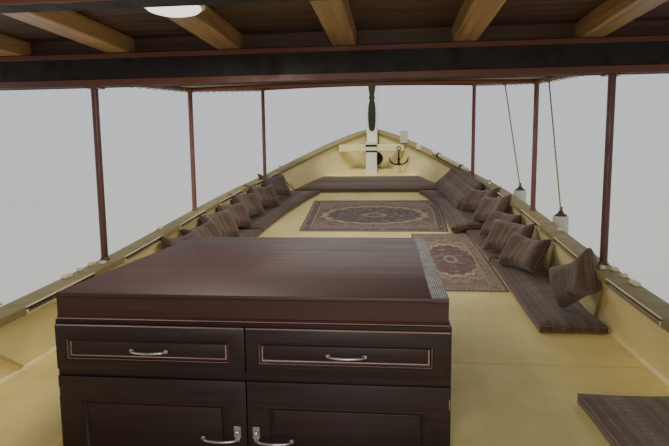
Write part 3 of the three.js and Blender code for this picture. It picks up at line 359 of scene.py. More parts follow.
def striped_cloth(name, ground, bands, pitch, figured=None):
    """Woven stripes over the cloth as it was cut, with a figured band and the weave's relief."""
    sheen = 0.86
    finish = Finish(name, ground, sheen, Sheen_Weight=0.25, Sheen_Roughness=0.5)
    u, v = finish.cut()
    across = worked("FRACT", shared(u, pitch))
    base = card(across, bands, "CONSTANT")
    if figured:
        low, high, dot = figured
        off = shared(less(across, (low + high) / 2), (high - low) / 2)
        along = shared(v, (high - low) * pitch * 0.8)
        beat = less(worked("FRACT", along), 0.5)
        lozenge = plus(away(off), away(times(beat, 2.2)))
        rim = times(span(lozenge, 0.95, 0.88), span(lozenge, 0.62, 0.69))
        eye = span(lozenge, 0.34, 0.28)
        base = over(times(worked("MAXIMUM", rim, eye), 0.75), base, dot)
    fade = cloud(finish.place(), 3.0, 4)
    nap = cloud(finish.place(), 90, 3, 0.7)
    thread = node(finish.tree, "ShaderNodeCombineXYZ", X=times(u, 420.0), Y=times(v, 14.0)).outputs[0]
    slub = node(
        finish.tree, "ShaderNodeTexNoise", {"noise_dimensions": "2D"}, Vector=thread, Scale=1.0, Detail=2.0
    ).outputs["Fac"]
    base = stain(base, fade, 0.35, 0.75, 0.25, darker(ground, 1.6))
    base = stain(base, slub, 0.45, 0.75, 0.4, darker(ground, 0.5))
    finish.paint(stain(base, nap, 0.35, 0.75, 0.3, darker(ground, 0.45)))
    finish.gloss(span(nap, 0.3, 0.8, sheen - 0.08, sheen + 0.1))
    finish.relief(weave(u, v, 0.0032), 0.0006, 0.35)
    finish.relief(nap, 0.002, 0.4)
    return finish


def canvas(name, colour):
    sheen = 0.8
    finish = Finish(name, colour, sheen, Sheen_Weight=0.15)
    u, v = finish.cut()
    cloudy = cloud(finish.place(), 1.6, 5, 0.6)
    spots = cloud(finish.place(), 12, 5, 0.65)
    seam = groove(u, 1.2, 0.02)
    base = over(span(cloudy, 0.35, 0.7), darker(colour, 0.8), darker(colour, 1.12))
    base = stain(base, spots, 0.55, 0.75, 0.3, darker(colour, 0.5))
    finish.paint(over(times(seam, 0.3), base, darker(colour, 0.5)))
    finish.gloss(span(spots, 0.3, 0.8, sheen - 0.1, 0.95))
    finish.relief(weave(u, v, 0.004), 0.0008, 0.3)
    finish.relief(seam, 0.003, 0.5)
    return finish


def laid_rope(name, colour):
    finish = Finish(name, colour, 0.85)
    u, v = finish.cut()
    strand = worked("SINE", plus(times(v, 120), times(u, 40)))
    hair = cloud(finish.place(), 300, 3, 0.7)
    # darker between the strands: painted shade in the rope's grooves
    base = over(span(strand, -0.9, 0.2), darker(colour, 0.45), colour)
    finish.paint(stain(base, hair, 0.4, 0.7, 0.3, darker(colour, 0.7)))
    finish.gloss(span(hair, 0.3, 0.7, 0.78, 0.95))
    finish.relief(strand, 0.003, 0.8)
    return finish


def carpet_pile(name, length, width, field, band, ivory, dark, medallion):
    """A traditional knotted carpet: borders, a field of arabesques and a medallion."""
    finish = Finish(name, field, 0.95, Sheen_Weight=0.3)
    u, v = finish.cut()
    from_side, from_end = less(width / 2, away(u)), less(length / 2, away(v))
    edge = worked("MINIMUM", from_side, from_end)
    mirrored = node(finish.tree, "ShaderNodeCombineXYZ", X=away(u), Y=away(v), Z=0.0).outputs[0]
    knots = node(finish.tree, "ShaderNodeVectorMath", {"operation": "SNAP"})
    feed(knots.inputs[0], mirrored)
    knots.inputs[1].default_value = (0.007, 0.007, 0.007)
    laid = knots.outputs[0]
    cells = node(finish.tree, "ShaderNodeTexVoronoi", {"feature": "F1"}, Vector=laid, Scale=9.0, Randomness=0.55)
    petals = node(
        finish.tree, "ShaderNodeTexVoronoi", {"feature": "DISTANCE_TO_EDGE"}, Vector=laid, Scale=15.0, Randomness=0.8
    )
    vines = cloud(laid, 9.0, 2, 0.5, 2.6)
    rosette = span(cells.outputs["Distance"], 0.34, 0.30)
    heart = span(cells.outputs["Distance"], 0.16, 0.13)
    vine = span(away(less(vines, 0.5)), 0.035, 0.02)
    leaf = span(petals.outputs["Distance"], 0.05, 0.03)
    ground = over(vine, field, ivory)
    ground = over(times(leaf, 0.35), ground, dark)
    ground = over(rosette, ground, band)
    ground = over(heart, ground, ivory)
    # the medallion and the corners lie in lobed rings round the middle
    aside, ahead = shared(u, width * 0.41), shared(v, length * 0.31)
    far = worked("SQRT", plus(worked("POWER", aside, 2.0), worked("POWER", ahead, 2.0)))
    turn = worked("ARCTAN2", ahead, aside)
    lobes = plus(far, times(worked("COSINE", times(turn, 16.0)), 0.035))
    streak = cloud(finish.place((9.0, 26.0, 1.0)), 1.0, 3)
    inner = stain(medallion, streak, 0.56, 0.62, 0.75, ivory)
    inner = over(times(vine, 0.6), inner, dark)
    corner = over(times(leaf, 0.5), over(vine, band, field), ivory)
    for start, full, colour, *only in (
        (1.22, 1.235, corner), (1.0, 0.985, dark), (0.97, 0.955, ivory), (0.95, 0.94, band, leaf),
        (0.84, 0.825, dark), (0.81, 0.80, inner), (0.22, 0.20, ivory), (0.16, 0.14, dark),
    ):
        share = span(lobes, start, full)
        ground = over(times(share, only[0]) if only else share, ground, colour)
    # the borders lie at distances from the edge
    along = worked("FRACT", shared(plus(away(u), away(v)), 0.05))
    buds = span(away(less(along, 0.5)), 0.22, 0.18)
    wide = over(heart, over(rosette, over(vine, field, band), band), ivory)
    thin = over(buds, dark, ivory)
    for at, colour in (
        (0.178, dark), (0.172, ivory), (0.160, thin), (0.138, dark), (0.132, wide), (0.050, dark), (0.044, ivory),
        (0.036, thin), (0.013, dark),
    ):
        ground = over(span(edge, at + 0.001, at - 0.001), ground, colour)
    worn = cloud(finish.place(), 5.0, 5, 0.62)
    tuft = cloud(finish.place(), 260, 2, 0.7)
    ground = stain(ground, worn, 0.4, 0.8, 0.28, darker(ivory, 0.5))
    finish.paint(stain(ground, tuft, 0.4, 0.75, 0.4, darker(field, 0.3)))
    finish.gloss(span(tuft, 0.3, 0.7, 0.88, 1.0))
    finish.relief(tuft, 0.004, 0.6)
    return finish


# Shapes

X, Y, Z = Vector((1, 0, 0)), Vector((0, 1, 0)), Vector((0, 0, 1))

def circle(centre, a, b, radius, count):
    """Points round a centre, from the direction of a towards that of b."""
    turns = (2 * pi * k / count for k in range(count))
    return [Vector(centre) + radius * (cos(t) * a + sin(t) * b) for t in turns]


class Form:
    """Points and faces of one piece, with each face's finish and cloth lay-out."""

    def __init__(self):
        self.points, self.faces, self.finish, self.lay = [], [], [], []

    def put(self, points, faces, finish=0, lay=None):
        start = len(self.points)
        self.points += [tuple(p) for p in points]
        self.faces += [[start + i for i in face] for face in faces]
        self.finish += [finish] * len(faces)
        self.lay += lay or [[(0, 0)] * len(face) for face in faces]

    def tint(self, finish, rows, columns, count, start=0):
        """Gives some faces of a skin over rings of this many points another finish."""
        for row in rows:
            for column in columns:
                self.finish[start + row * count + column] = finish

    def block(self, corners, finish=0, ease=0.003):
        """A six-sided timber with eased edges, from its lower four corners and its upper four."""
        low, high = ([Vector(c) for c in four] for four in (corners[:4], corners[4:]))
        spans = [max(1e-6, (far - low[0]).length) for far in (low[1], low[3], high[0])]
        share = [min(0.45, ease / s) for s in spans]

        def level(four, a, b):
            return four[0] * (1 - a) * (1 - b) + four[1] * a * (1 - b) + four[2] * a * b + four[3] * (1 - a) * b

        def corner(face, a, b, *ends):
            """Number of the point on this face at a corner, named by its ends along the three axes."""
            place = [0, 0, 0]
            place[face], place[a], place[b] = ends
            return tuple(place)

        points, index = [], {}
        for ends in product((0, 1), repeat=3):
            for face in range(3):
                a, b, c = (
                    end if axis == face else (share[axis] if end == 0 else 1 - share[axis])
                    for axis, end in enumerate(ends)
                )
                index[(*ends, face)] = len(points)
                points.append(level(low, a, b) * (1 - c) + level(high, a, b) * c)
        faces = []
        for face in range(3):
            a, b = [axis for axis in range(3) if axis != face]
            for end in (0, 1):
                around = ((0, 0), (1, 0), (1, 1), (0, 1))
                faces.append([index[(*corner(face, a, b, end, p, q), face)] for p, q in around])
            for p, q in product((0, 1), repeat=2):
                near, far = (corner(face, a, b, end, p, q) for end in (0, 1))
                faces.append([index[(*near, a)], index[(*near, b)], index[(*far, b)], index[(*far, a)]])
        faces += [[index[(*ends, face)] for face in range(3)] for ends in product((0, 1), repeat=3)]
        self.put(points, faces, finish)

    def board(self, x0, x1, y0, y1, z0, z1, finish=0, ease=0.003):
        low = [(x0, y0, z0), (x1, y0, z0), (x1, y1, z0), (x0, y1, z0)]
        self.block(low + [(x, y, z1) for x, y, _ in low], finish, ease)

    def flank(self, side, a, b, y0, y1, z0, z1, finish=0, ease=0.003):
        """A board on one side of the boat, between two distances from the middle line."""
        x0, x1 = sorted((side * a, side * b))
        self.board(x0, x1, y0, y1, z0, z1, finish, ease)

    def rings(self, rings, finish=0, closed=False):
        """A skin over rings of the same number of points, with caps unless it is closed."""
        count, rows = len(rings[0]), len(rings)
        points = [p for ring in rings for p in ring]
        faces, laid = [], []
        around, along = [0.0], [0.0]
        for j in range(count):
            around.append(around[-1] + (Vector(rings[0][(j + 1) % count]) - Vector(rings[0][j])).length)
        for i in range(1, rows):
            along.append(along[-1] + (Vector(rings[i][0]) - Vector(rings[i - 1][0])).length)
        for i in range(rows if closed else rows - 1):
            nxt = (i + 1) % rows
            v0, v1 = along[i], along[i + 1] if i + 1 < rows else along[i] + 0.01
            for j in range(count):
                k = (j + 1) % count
                faces.append([i * count + j, i * count + k, nxt * count + k, nxt * count + j])
                laid.append([(around[j], v0), (around[j + 1], v0), (around[j + 1], v1), (around[j], v1)])
        if not closed:
            faces += [list(range(count)), [(rows - 1) * count + j for j in range(count)]]
            laid += [[(0, 0)] * count] * 2
        self.put(points, faces, finish, laid)

    def rod(self, path, radius, sides=10, finish=0, closed=False, flat=1.0):
        """A round bar along a path. The radius may change from point to point."""
        path = [Vector(p) for p in path]
        radii = radius if isinstance(radius, (list, tuple)) else [radius] * len(path)
        count = len(path)
        side, rings = None, []
        for k, point in enumerate(path):
            a = path[k - 1] if k or closed else point
            b = path[(k + 1) % count] if k + 1 < count or closed else point
            heading = (b - a).normalized()
            if side is None:
                side = heading.orthogonal().normalized()
            side = (side - heading * side.dot(heading)).normalized()
            rings.append(circle(point, side, flat * heading.cross(side), radii[k], sides))
        self.rings(rings, finish, closed)

    def hoop(self, centre, a, b, radius, wire, count, sides=6, finish=0):
        """A closed ring of round bar."""
        self.rod(circle(centre, a, b, radius, count), wire, sides, finish, closed=True)

    def turned(self, start, end, profile, sides=24, finish=0):
        """A turned form between two points, from (radius, share of the way) pairs."""
        start, end = Vector(start), Vector(end)
        run = end - start
        side = run.orthogonal().normalized()
        other = run.normalized().cross(side)
        rings = [circle(start + run * share, side, other, max(radius, 1e-5), sides) for radius, share in profile]
        self.rings(rings, finish)

    def upright(self, x, y, low, high, profile, sides=24, finish=0):
        self.turned((x, y, low), (x, y, high), profile, sides, finish)

    def bolt(self, place, facing, radius=0.009, height=0.006, finish=0):
        """A domed bolt head on a face."""
        place, facing = Vector(place), Vector(facing).normalized()
        profile = [(radius, 0), (radius, 0.45), (radius * 0.8, 0.8), (radius * 0.35, 1)]
        self.turned(place - facing * 0.002, place + facing * height, profile, 8, finish)


def smooth_by_angle(mesh, crease):
    mesh.shade_smooth()
    mesh.set_sharp_from_angle(angle=radians(crease))


def settle(name, mesh, body, stands_for=()):
    made = into_scene(name, mesh)
    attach(made, body)
    if stands_for:
        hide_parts(*stands_for)
    return made


def mesh_of(name, form, finishes=(), laid=True, weld=0.0, melt=0.0):
    """The form's mesh, with its doubles merged and its faces pointing outwards."""
    mesh = bpy.data.meshes.new(name)
    mesh.from_pydata(form.points, [], form.faces)
    for finish in finishes:
        mesh.materials.append(finish.material)
    mesh.polygons.foreach_set("material_index", form.finish)
    if laid:
        lay = mesh.uv_layers.new(name="lay")
        lay.data.foreach_set("uv", [c for face in form.lay for corner in face for c in corner])
    tidy = bmesh.new()
    tidy.from_mesh(mesh)
    if weld:
        bmesh.ops.remove_doubles(tidy, verts=tidy.verts, dist=weld)
    if melt:
        bmesh.ops.dissolve_degenerate(tidy, edges=tidy.edges, dist=melt)
    bmesh.ops.recalc_face_normals(tidy, faces=tidy.faces)
    tidy.to_mesh(mesh)
    tidy.free()
    return mesh


def piece(name, form, finishes, body="boat", stands_for=(), crease=35):
    mesh = mesh_of(name, form, finishes, weld=2e-5, melt=1e-5)
    smooth_by_angle(mesh, crease)
    return settle(name, mesh, body, stands_for)


def steps(first, last, count):
    return [first + (last - first) * k / count for k in range(count + 1)]


def arc(points, count):
    """A smooth curve through points."""
    points = [Vector(p) for p in points]
    padded = [2 * points[0] - points[1]] + points + [2 * points[-1] - points[-2]]
    made = []
    for k in range(len(points) - 1):
        a, b, c, d = padded[k:k + 4]
        for s in range(count):
            t = s / count
            bend, twist = 2 * a - 5 * b + 4 * c - d, 3 * b - a - 3 * c + d
            made.append(0.5 * ((2 * b) + (c - a) * t + bend * t * t + twist * t ** 3))
    return made + [points[-1]]


# Hull form, as the solids have it

DECK = 0.95
HALF_BEAM, SIDING = 2.53, 0.125
FULLEST_Y, BOW_Y, STERN_Y, RUN_Y = 2.0, 10.1, -9.8, -6.5
STATIONS = (
    -9.8, -9.2, -8.5, -7.6, -6.5, -5.2, -3.8, -2.4, -1.0, 0.5, 2.0, 3.2, 4.4, 5.5,
    6.5, 7.3, 8.0, 8.6, 9.1, 9.45, 9.7, 9.88, 10.01, 10.1,
)


def half_beam(y):
    if y > FULLEST_Y:
        return SIDING + (HALF_BEAM - SIDING) * max(0, 1 - ((y - FULLEST_Y) / (BOW_Y - FULLEST_Y)) ** 3) ** 0.8
    return HALF_BEAM * (1 - 0.3 * max(0, (-1 - y) / 8.8) ** 2.2)


def slant(y):
    slope = (half_beam(min(y + 0.04, BOW_Y)) - half_beam(y - 0.04)) / 0.08
    return min(hypot(1, slope), 1.75)


def rail_z(y):
    if y < -1.5:
        return DECK + 0.52 + 0.0085 * (y + 1.5) ** 2
    forward = max(0, y)
    waist = DECK + 0.52 + 0.0138 * (min(y, 0) + 1.5) ** 2
    return waist + 0.0472 * forward + 0.00827 * forward ** 2 + 0.0335 * max(0, y - 6.5) ** 2


def deck_z(y):
    return DECK + 0.0146 * max(0, y) ** 2 + 0.0065 * min(0, y + 1.5) ** 2


def soft_piece(name, form, finishes, stands_for, crease):
    """A piece of cloth, whose points are already shared between its faces."""
    mesh = mesh_of(name, form, finishes)
    smooth_by_angle(mesh, crease)
    return settle(name, mesh, "boat", stands_for)


def rabbet_z(y):
    return -1 + 0.0065 * max(y, RUN_Y) + 1.15 * max(0, (RUN_Y - y) / 3.3) ** 1.6


def between(form, y):
    k = next((k for k, station in enumerate(STATIONS) if station >= y), len(STATIONS) - 1) or 1
    a, b = STATIONS[k - 1], STATIONS[k]
    return form(a) + (form(b) - form(a)) * (y - a) / (b - a)


def deck_at(y):
    return between(deck_z, y)


def rail_at(y):
    return between(rail_z, y)


def breadth_at(y, z):
    forward = max(0, (y - FULLEST_Y) / (BOW_Y - FULLEST_Y)) ** 2
    aft = max(0, (-1 - y) / 8.8)
    fullness, bilge = 3 - 1.7 * forward - 0.6 * aft, 0.7 + 0.3 * forward + 0.2 * aft
    t = min(1, max(0, (z - rabbet_z(y)) / (rail_z(y) - rabbet_z(y))))
    return SIDING + (half_beam(y) - SIDING) * (1 - (1 - t) ** fullness) ** bilge


def rail_beam(y):
    forward = max(0, (y - FULLEST_Y) / (BOW_Y - FULLEST_Y))
    return SIDING + (half_beam(y) - SIDING) * (1 - 0.064 * (1 - forward))


def inner_x(y):
    return max(half_beam(y) - 0.110 * slant(y), SIDING + 0.0003)


def inner_head_x(y):
    return max(rail_beam(y) - 0.145 * slant(y), SIDING + 0.0003)


def rail_outer_x(y):
    return rail_beam(y) + 0.025


def rail_inner_x(y):
    return max(rail_outer_x(y) - 0.2 * slant(y), SIDING + 0.0003)


def outer_x(y, z):
    foot, head = deck_z(y) - 0.06, rail_z(y) - 0.06
    foot_x, head_x = max(breadth_at(y, foot), inner_x(y) + 0.0002), max(rail_beam(y), inner_head_x(y) + 0.0002)
    return foot_x + (head_x - foot_x) * (z - foot) / (head - foot)


def lining_x(y, z):
    """Inner face of the bulwark at a height."""
    low, high = deck_z(y), rail_z(y) - 0.06
    share = min(1, max(0, (z - low) / (high - low)))
    return inner_x(y) + (inner_head_x(y) - inner_x(y)) * share


def draw_aft(y, level):
    return 1.75 * max(0, (y - 4) / (BOW_Y - 4)) ** 2 * (1 - level) ** 2.6


SIDES = (("port", -1), ("starboard", 1))


# Things that repeat, made by node trees

class Tree:
    """A geometry node tree with named inputs for its sizes."""

    def __init__(self, name, **sizes):
        self.group = bpy.data.node_groups.new(name, "GeometryNodeTree")
        face = self.group.interface
        face.new_socket("Geometry", in_out="INPUT", socket_type="NodeSocketGeometry")
        face.new_socket("Geometry", in_out="OUTPUT", socket_type="NodeSocketGeometry")
        self.keys = {}
        for key, value in sizes.items():
            kind = "NodeSocketInt" if isinstance(value, int) else "NodeSocketFloat"
            socket = face.new_socket(key, in_out="INPUT", socket_type=kind)
            socket.default_value = value
            self.keys[key] = socket.identifier
        self.start, self.end = (self.group.nodes.new("NodeGroup" + way) for way in ("Input", "Output"))

    def node(self, kind, settings=(), **given):
        return node(self.group, kind, settings, **given)

    def size(self, key):
        return self.start.outputs[key]

    def vary(self, low, high, kind="FLOAT"):
        """A value between two limits for each copy, from the tree's seed."""
        made = self.node("FunctionNodeRandomValue", {"data_type": kind}, Seed=self.size("Seed"))
        first, result = (2, 1) if kind == "FLOAT" else (0, 0)
        made.inputs[first].default_value, made.inputs[first + 1].default_value = low, high
        return made.outputs[result]

    def close(self, geometry, finish):
        real = self.node("GeometryNodeRealizeInstances", Geometry=geometry)
        painted = self.node("GeometryNodeSetMaterial", Geometry=real.outputs[0], Material=finish.material)
        feed(self.end.inputs[0], painted.outputs[0])

    def stand(self, points, shape, aim, finish, **more):
        """Ends the tree with copies of a shape on its points, square to their aim."""
        turn = self.node("FunctionNodeAlignRotationToVector", {"axis": "Z"}, Vector=aim).outputs[0]
        copies = self.node("GeometryNodeInstanceOnPoints", Points=points, Instance=shape, Rotation=turn, **more)
        self.close(copies.outputs[0], finish)
        return self


def grown(name, tree, base, **sizes):
    """The plain mesh that a tree makes from a base mesh."""
    carrier = into_scene(name + "_base", base)
    modifier = carrier.modifiers.new("grow", "NODES")
    modifier.node_group = tree.group
    for key, value in sizes.items():
        modifier[tree.keys[key]] = value
    bpy.context.view_layer.update()
    depsgraph = bpy.context.evaluated_depsgraph_get()
    mesh = bpy.data.meshes.new_from_object(carrier.evaluated_get(depsgraph), depsgraph=depsgraph)
    bpy.data.objects.remove(carrier)
    mesh.name = name
    return mesh


def on_faces(tree):
    """Points on the middles of the base mesh's faces, and the faces' normals there."""
    normal = tree.node("GeometryNodeInputNormal")
    kept = tree.node("GeometryNodeCaptureAttribute", {"domain": "FACE"})
    kept.capture_items.new("VECTOR", "facing")
    feed(kept.inputs[0], tree.start.outputs[0])
    feed(kept.inputs[1], normal.outputs[0])
    points = tree.node("GeometryNodeMeshToPoints", {"mode": "FACES"}, Mesh=kept.outputs[0])
    return points.outputs[0], kept.outputs[1]


def seats(places):
    """A small triangle at each (point, normal), for the copies to stand on."""
    points, faces = [], []
    for place, normal in places:
        normal = Vector(normal).normalized()
        side = normal.orthogonal().normalized()
        faces.append([len(points) + k for k in range(3)])
        points += [tuple(p) for p in circle(place, side, normal.cross(side), 0.001, 3)]
    mesh = bpy.data.meshes.new("seats")
    mesh.from_pydata(points, [], faces)
    return mesh


def laid_tree(name, finish):
    """Rows of the same board, each lying a little high or low."""
    tree = Tree(name, Count=2, Step_X=0.0, Step_Y=0.1, Uneven=0.0006, Seed=5)
    step = tree.node("ShaderNodeCombineXYZ", X=tree.size("Step_X"), Y=tree.size("Step_Y"))
    line = tree.node("GeometryNodeMeshLine", Count=tree.size("Count"), Offset=step.outputs[0])
    copies = tree.node("GeometryNodeInstanceOnPoints", Points=line.outputs[0], Instance=tree.start.outputs[0])
    lift = tree.node("ShaderNodeCombineXYZ", Z=times(tree.vary(-1.0, 1.0), tree.size("Uneven")))
    moved = tree.node("GeometryNodeTranslateInstances", Instances=copies.outputs[0], Translation=lift.outputs[0])
    tree.close(moved.outputs[0], finish)
    return tree


def ring_tree(finish):
    """Rings that lie flat on their seats."""
    tree = Tree("eyelets", Radius=0.011, Wire=0.003)
    points, facing = on_faces(tree)
    hoop = tree.node("GeometryNodeCurvePrimitiveCircle", Resolution=14, Radius=tree.size("Radius"))
    wire = tree.node("GeometryNodeCurvePrimitiveCircle", Resolution=6, Radius=tree.size("Wire"))
    ring = tree.node("GeometryNodeCurveToMesh", Curve=hoop.outputs[0], Profile_Curve=wire.outputs[0])
    return tree.stand(points, ring.outputs[0], facing, finish)


def fringe_tree(finish):
    """Twisted threads that lie along the normals of their seats."""
    tree = Tree("carpet_fringe", Length=0.05, Radius=0.0014, Seed=3)
    points, facing = on_faces(tree)
    sizes = dict(Radius_Top=0.0007, Radius_Bottom=tree.size("Radius"), Depth=tree.size("Length"))
    thread = tree.node("GeometryNodeMeshCone", Vertices=5, **sizes)
    aim = tree.node("ShaderNodeVectorMath", {"operation": "ADD"})
    feed(aim.inputs[0], facing)
    feed(aim.inputs[1], tree.vary((-0.3, -0.18, -0.02), (0.3, 0.18, 0.04), "FLOAT_VECTOR"))
    return tree.stand(points, thread.outputs["Mesh"], aim.outputs[0], finish)


def fastening_tree(finish):
    """Domed fastening heads, each square to the surface of its seat."""
    tree = Tree("fastening_heads", Radius=0.011, Proud=0.4, Seed=1)
    points, facing = on_faces(tree)
    head = tree.node("GeometryNodeMeshUVSphere", Segments=8, Rings=5, Radius=tree.size("Radius"))
    flat = tree.node("ShaderNodeCombineXYZ", X=1.0, Y=1.0, Z=tree.size("Proud"))
    shaped = tree.node("GeometryNodeTransform", Geometry=head.outputs["Mesh"], Scale=flat.outputs[0])
    return tree.stand(points, shaped.outputs[0], facing, finish, Scale=tree.vary(0.85, 1.1))


def fastenings(name, tree, places, radius=0.009, body="boat"):
    """Fastening heads at (point, normal) pairs."""
    made = grown(name, tree, seats(places), Radius=radius)
    smooth_by_angle(made, 50)
    return settle(name, made, body)


# Hull planking, wales and backbone

def hull_point(y, level, side, proud):
    bottom, top = rabbet_z(y), deck_z(y) - 0.06
    z = bottom + (top - bottom) * level
    step = 0.01
    x = breadth_at(y, z)
    up = breadth_at(y, z + step) - breadth_at(y, max(bottom, z - step))
    rise = step + min(step, z - bottom)
    normal = Vector((rise, -up)).normalized()
    return Vector((side * (x + normal[0] * proud), y - draw_aft(y, level), z + normal[1] * proud))


WALE_FOOT, WALE_THICK = 0.885, 0.068

def shifted(point, side, out, up):
    """A point moved outwards from the middle line and up."""
    return point + Vector((side * out, 0, up))


def wale_edges(y, side):
    """Foot and head of the wale on the hull's skin."""
    return hull_point(y, WALE_FOOT, side, 0), hull_point(y, 1, side, 0)


def plank_hull(finish):
    form = Form()
    strakes, seam, skin = 15, 0.0035, 0.05
    levels = []
    for k in range(strakes):
        a, b = k / strakes, (k + 1) / strakes
        levels += [(a, -0.004), (a + seam, 0.008), ((a + b) / 2, 0.0095), (b - seam, 0.008)]
    levels.append((1, 0.0))
    for _, side in SIDES:
        rings = []
        for y in steps(STERN_Y, BOW_Y - 0.012, 110):
            row = [hull_point(y, level, side, proud) for level, proud in levels]
            # the back of the skin never reaches the middle line
            ends = (row[-1], row[len(row) // 2], row[0])
            back = [shifted(p, -side, min(skin, max(0.0, abs(p.x) - 0.02)), 0) for p in ends]
            rings.append(row + back)
        form.rings(rings)
    piece(
        "hull_planking", form, [finish], stands_for=("hull", "hull_topsides", "hull_topsides_aft"),
        crease=28
    )


def wale_and_rubbing_strip(finish, steel):
    out, soft = WALE_THICK, 0.02
    steel_edge = ((0, -0.02), (0.004, -0.014), (0.004, 0.014), (0, 0.02), (-0.01, 0.02), (-0.01, -0.02))
    for name, side in SIDES:
        form = Form()
        rings, strip = [], []
        for y in steps(STERN_Y, BOW_Y - 0.02, 90):
            low, top = wale_edges(y, side)
            rings.append([
                low, top, shifted(top, side, out - soft, 0), shifted(top, side, out, -soft),
                shifted(low, side, out, soft), shifted(low, side, out - soft, 0),
            ])
        form.rings(rings)
        for y in steps(STERN_Y + 0.05, BOW_Y - 0.3, 80):
            low, top = wale_edges(y, side)
            middle = shifted((top + low) / 2, side, out - 0.002, 0)
            strip.append([shifted(middle, side, a, b) for a, b in steel_edge])
        form.rings(strip, 1)
        piece("wale_" + name + "_timber", form, [finish, steel], stands_for=("wale_" + name,))


def bolt_heads(iron, steel):
    """Wale bolts and rubbing strip screws."""
    heads, screws = [], []
    for _, side in SIDES:
        for k, y in enumerate(steps(-9.4, 9.2, 62)):
            low, top = wale_edges(y, side)
            centre = low + (top - low) * (0.24 if k % 2 else 0.78)
            heads.append((shifted(centre, side, WALE_THICK - 0.0005, 0), (side, 0, 0)))
            screws.append((shifted((low + top) / 2, side, WALE_THICK + 0.0015, 0), (side, 0, 0)))
    fastenings("wale_bolts", fastening_tree(iron), heads, 0.013)
    fastenings("rubbing_strip_screws", fastening_tree(steel), screws, 0.007)


# Bulwarks and cap rails

# Slots in the cap rail's inner face: where each starts, and their length
SLOT_STARTS = [0.34 + 1.51 * k for k in range(-6, 5)]
SLOT_LENGTH = 0.94


def line_bulwarks(lining, outside, strip):
    waterway_shape = (
        (0.01, -0.008), (-0.032, -0.008), (-0.03, 0.008), (-0.018, 0.022), (-0.004, 0.032), (0.004, 0.032)
    )
    for name, side in SIDES:
        form = Form()
        rings, waterway = [], []
        for y in steps(STERN_Y, BOW_Y - 0.005, 120):
            low, level, high = deck_z(y) - 0.0597, deck_z(y), rail_z(y) - 0.0603
            ring = [
                (inner_x(y), low), (inner_x(y), level), (inner_head_x(y), high),
                (outer_x(y, high), high), (outer_x(y, level), level), (outer_x(y, low), low),
            ]
            rings.append([(side * x, y, z) for x, z in ring])
        form.rings(rings)
        form.tint(1, range(len(rings) - 1), (3, 4), 6)
        # a strip leans from the fore end of each slot to the deck, and a waterway runs along the foot
        for start in SLOT_STARTS:
            head, foot = start + SLOT_LENGTH + 0.012, start + SLOT_LENGTH + 0.72
            corners = []
            for y, z in ((foot, deck_z(foot) + 0.034), (head, rail_z(start + SLOT_LENGTH) - 0.0606)):
                near, far = side * (lining_x(y, z) - 0.016), side * (lining_x(y, z) + 0.01)
                corners += [(near, y, z), (far, y, z), (far, y + 0.04, z), (near, y + 0.04, z)]
            form.block(corners, 2, 0.004)
        for y in steps(STERN_Y + 0.01, 9.2, 150):
            waterway.append([(side * (inner_x(y) + a), y, deck_z(y) + b) for a, b in waterway_shape])
        form.rings(waterway)
        piece(
            "bulwark_" + name + "_lining", form, [lining, outside, strip], stands_for=("bulwark_" + name,),
            crease=30
        )


# Chocks along the rail's outer edge: y, half length and inset
CHOCKS = (
    (-7.6, 0.055, 0.04), (-5.0, 0.05, 0.04), (-2.3, 0.055, 0.04), (1.105, 0.062, 0.045), (1.317, 0.03, 0.04),
    (1.51, 0.04, 0.04), (1.57, 0.035, 0.12), (3.1, 0.05, 0.04), (5.9, 0.05, 0.04),
)

def rail_bars(form, side, start, end, count, top, deep, far, near, finish):
    """A bar along a slot, in short lengths that follow the rail."""
    marks = steps(start, end, count)
    for a, b in zip(marks, marks[1:]):
        ends = ((a, far), (a, near), (b, near), (b, far))
        levels = (top + deep, top)
        form.block(
            [(side * (rail_inner_x(y) + off), y, rail_z(y) - z) for z in levels for y, off in ends], finish, 0.002
        )


def horn_cleat(form, x, y, z, finish):
    for off in (-0.035, 0.035):
        form.upright(x, y + off, z - 0.004, z + 0.05, [(0.018, 0), (0.012, 0.3), (0.011, 1)], 10, finish)
    horns = [(x, y + off, z + rise) for off, rise in ((-0.13, 0.062), (-0.05, 0.05), (0.05, 0.05), (0.13, 0.062))]
    form.rod(arc(horns, 5), [0.006] + [0.012] * 14 + [0.006], 10, finish)


